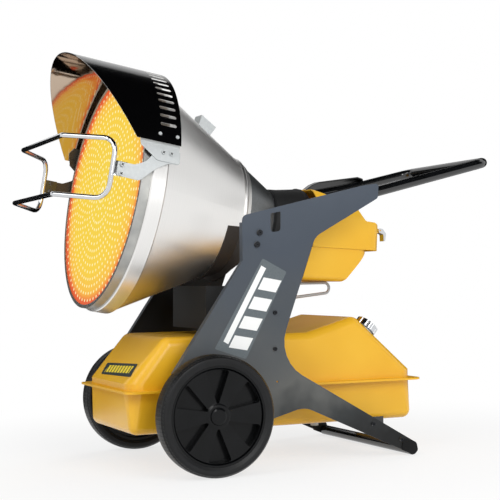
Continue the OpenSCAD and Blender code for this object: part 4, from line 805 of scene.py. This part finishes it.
def lamps():
    """Three soft square lamps: before the disc, beside the viewer, and one behind without a glint."""
    target = Vector((0, 0, 0.45))
    for name, spot, size, watts in (
            ("key_lamp", (1.2, -3.6, 3.4), 2.6, 62),
            ("side_lamp", (4.2, 0.2, 2.4), 2.4, 100),
            ("back_lamp", (-2.5, 2.5, 3.0), 2.4, 40)):
        lamp = bpy.data.lights.new(name, "AREA")
        lamp.size = size
        lamp.energy = watts
        holder = bpy.data.objects.new(name, lamp)
        bpy.context.scene.collection.objects.link(holder)
        holder.location = spot
        holder.visible_glossy = name != "back_lamp"
        aim = target - Vector(spot)
        holder.rotation_euler = aim.to_track_quat("-Z", "Y").to_euler()


def photograph_camera():
    """The camera fitted to the photograph's wheels and disc, turned by the same lean as the chassis."""
    yaw, pitch = math.radians(65.8065), math.radians(-1.534)
    # its focal length in pixels of the photograph, which is 500 pixels wide
    focal, frame_width = 1266.73, 500
    ahead = Vector((-math.sin(yaw) * math.cos(pitch), math.cos(yaw) * math.cos(pitch),
                    -math.sin(pitch)))
    right = Vector((math.cos(yaw), math.sin(yaw), 0))
    up = right.cross(ahead)
    spot = Vector((3159.9, -1192.6, 471.4 - DATUM))
    turn = Matrix.Rotation(LEAN, 3, "X")
    ahead, right, up, spot = turn @ ahead, turn @ right, turn @ up, turn @ spot
    spot += Vector((0, SHIFT_Y, WHEEL_R))
    data = bpy.data.cameras.new("photograph_camera")
    data.sensor_width = 36
    data.lens = focal * data.sensor_width / frame_width
    data.clip_end = 60
    holder = bpy.data.objects.new("photograph_camera", data)
    bpy.context.scene.collection.objects.link(holder)
    basis = Matrix((right, up, -ahead)).transposed().to_4x4()
    holder.matrix_world = Matrix.Translation(spot * MM) @ basis
    bpy.context.scene.camera = holder


photograph_camera()
studio_world()
studio_floor()
# Overhead, high behind the viewer's side, beyond the heater, behind it, and on the floor beyond it
dark_card("ceiling_card", (0.15, -1.45, 3.6), (5.7, 8.1), (0.15, -1.45, 0.0))
dark_card("side_card", (2.46, 1.52, 2.5), (4.0, 2.7), (0.0, -0.2, 2.5))
dark_card("far_card", (-3.0, -0.1, 0.84), (4.6, 1.6), (0.0, -0.1, 0.84), "#1c1d1e")
dark_card("rear_card", (-1.64, 2.67, 1.45), (2.7, 2.9), (0.0, -0.2, 1.45))
dark_card("ground_card", (-2.1, 0.7, 0.004), (2.4, 3.8), (-2.1, 0.7, 1.0))
lamps()
# The near plate and the cradle stay out of the cone's polish, which shows the white room instead
for name in ("side_plate_left", "head_cradle"):
    frame["nodes"][name].visible_glossy = False
bpy.context.scene.view_settings.view_transform = "Standard"
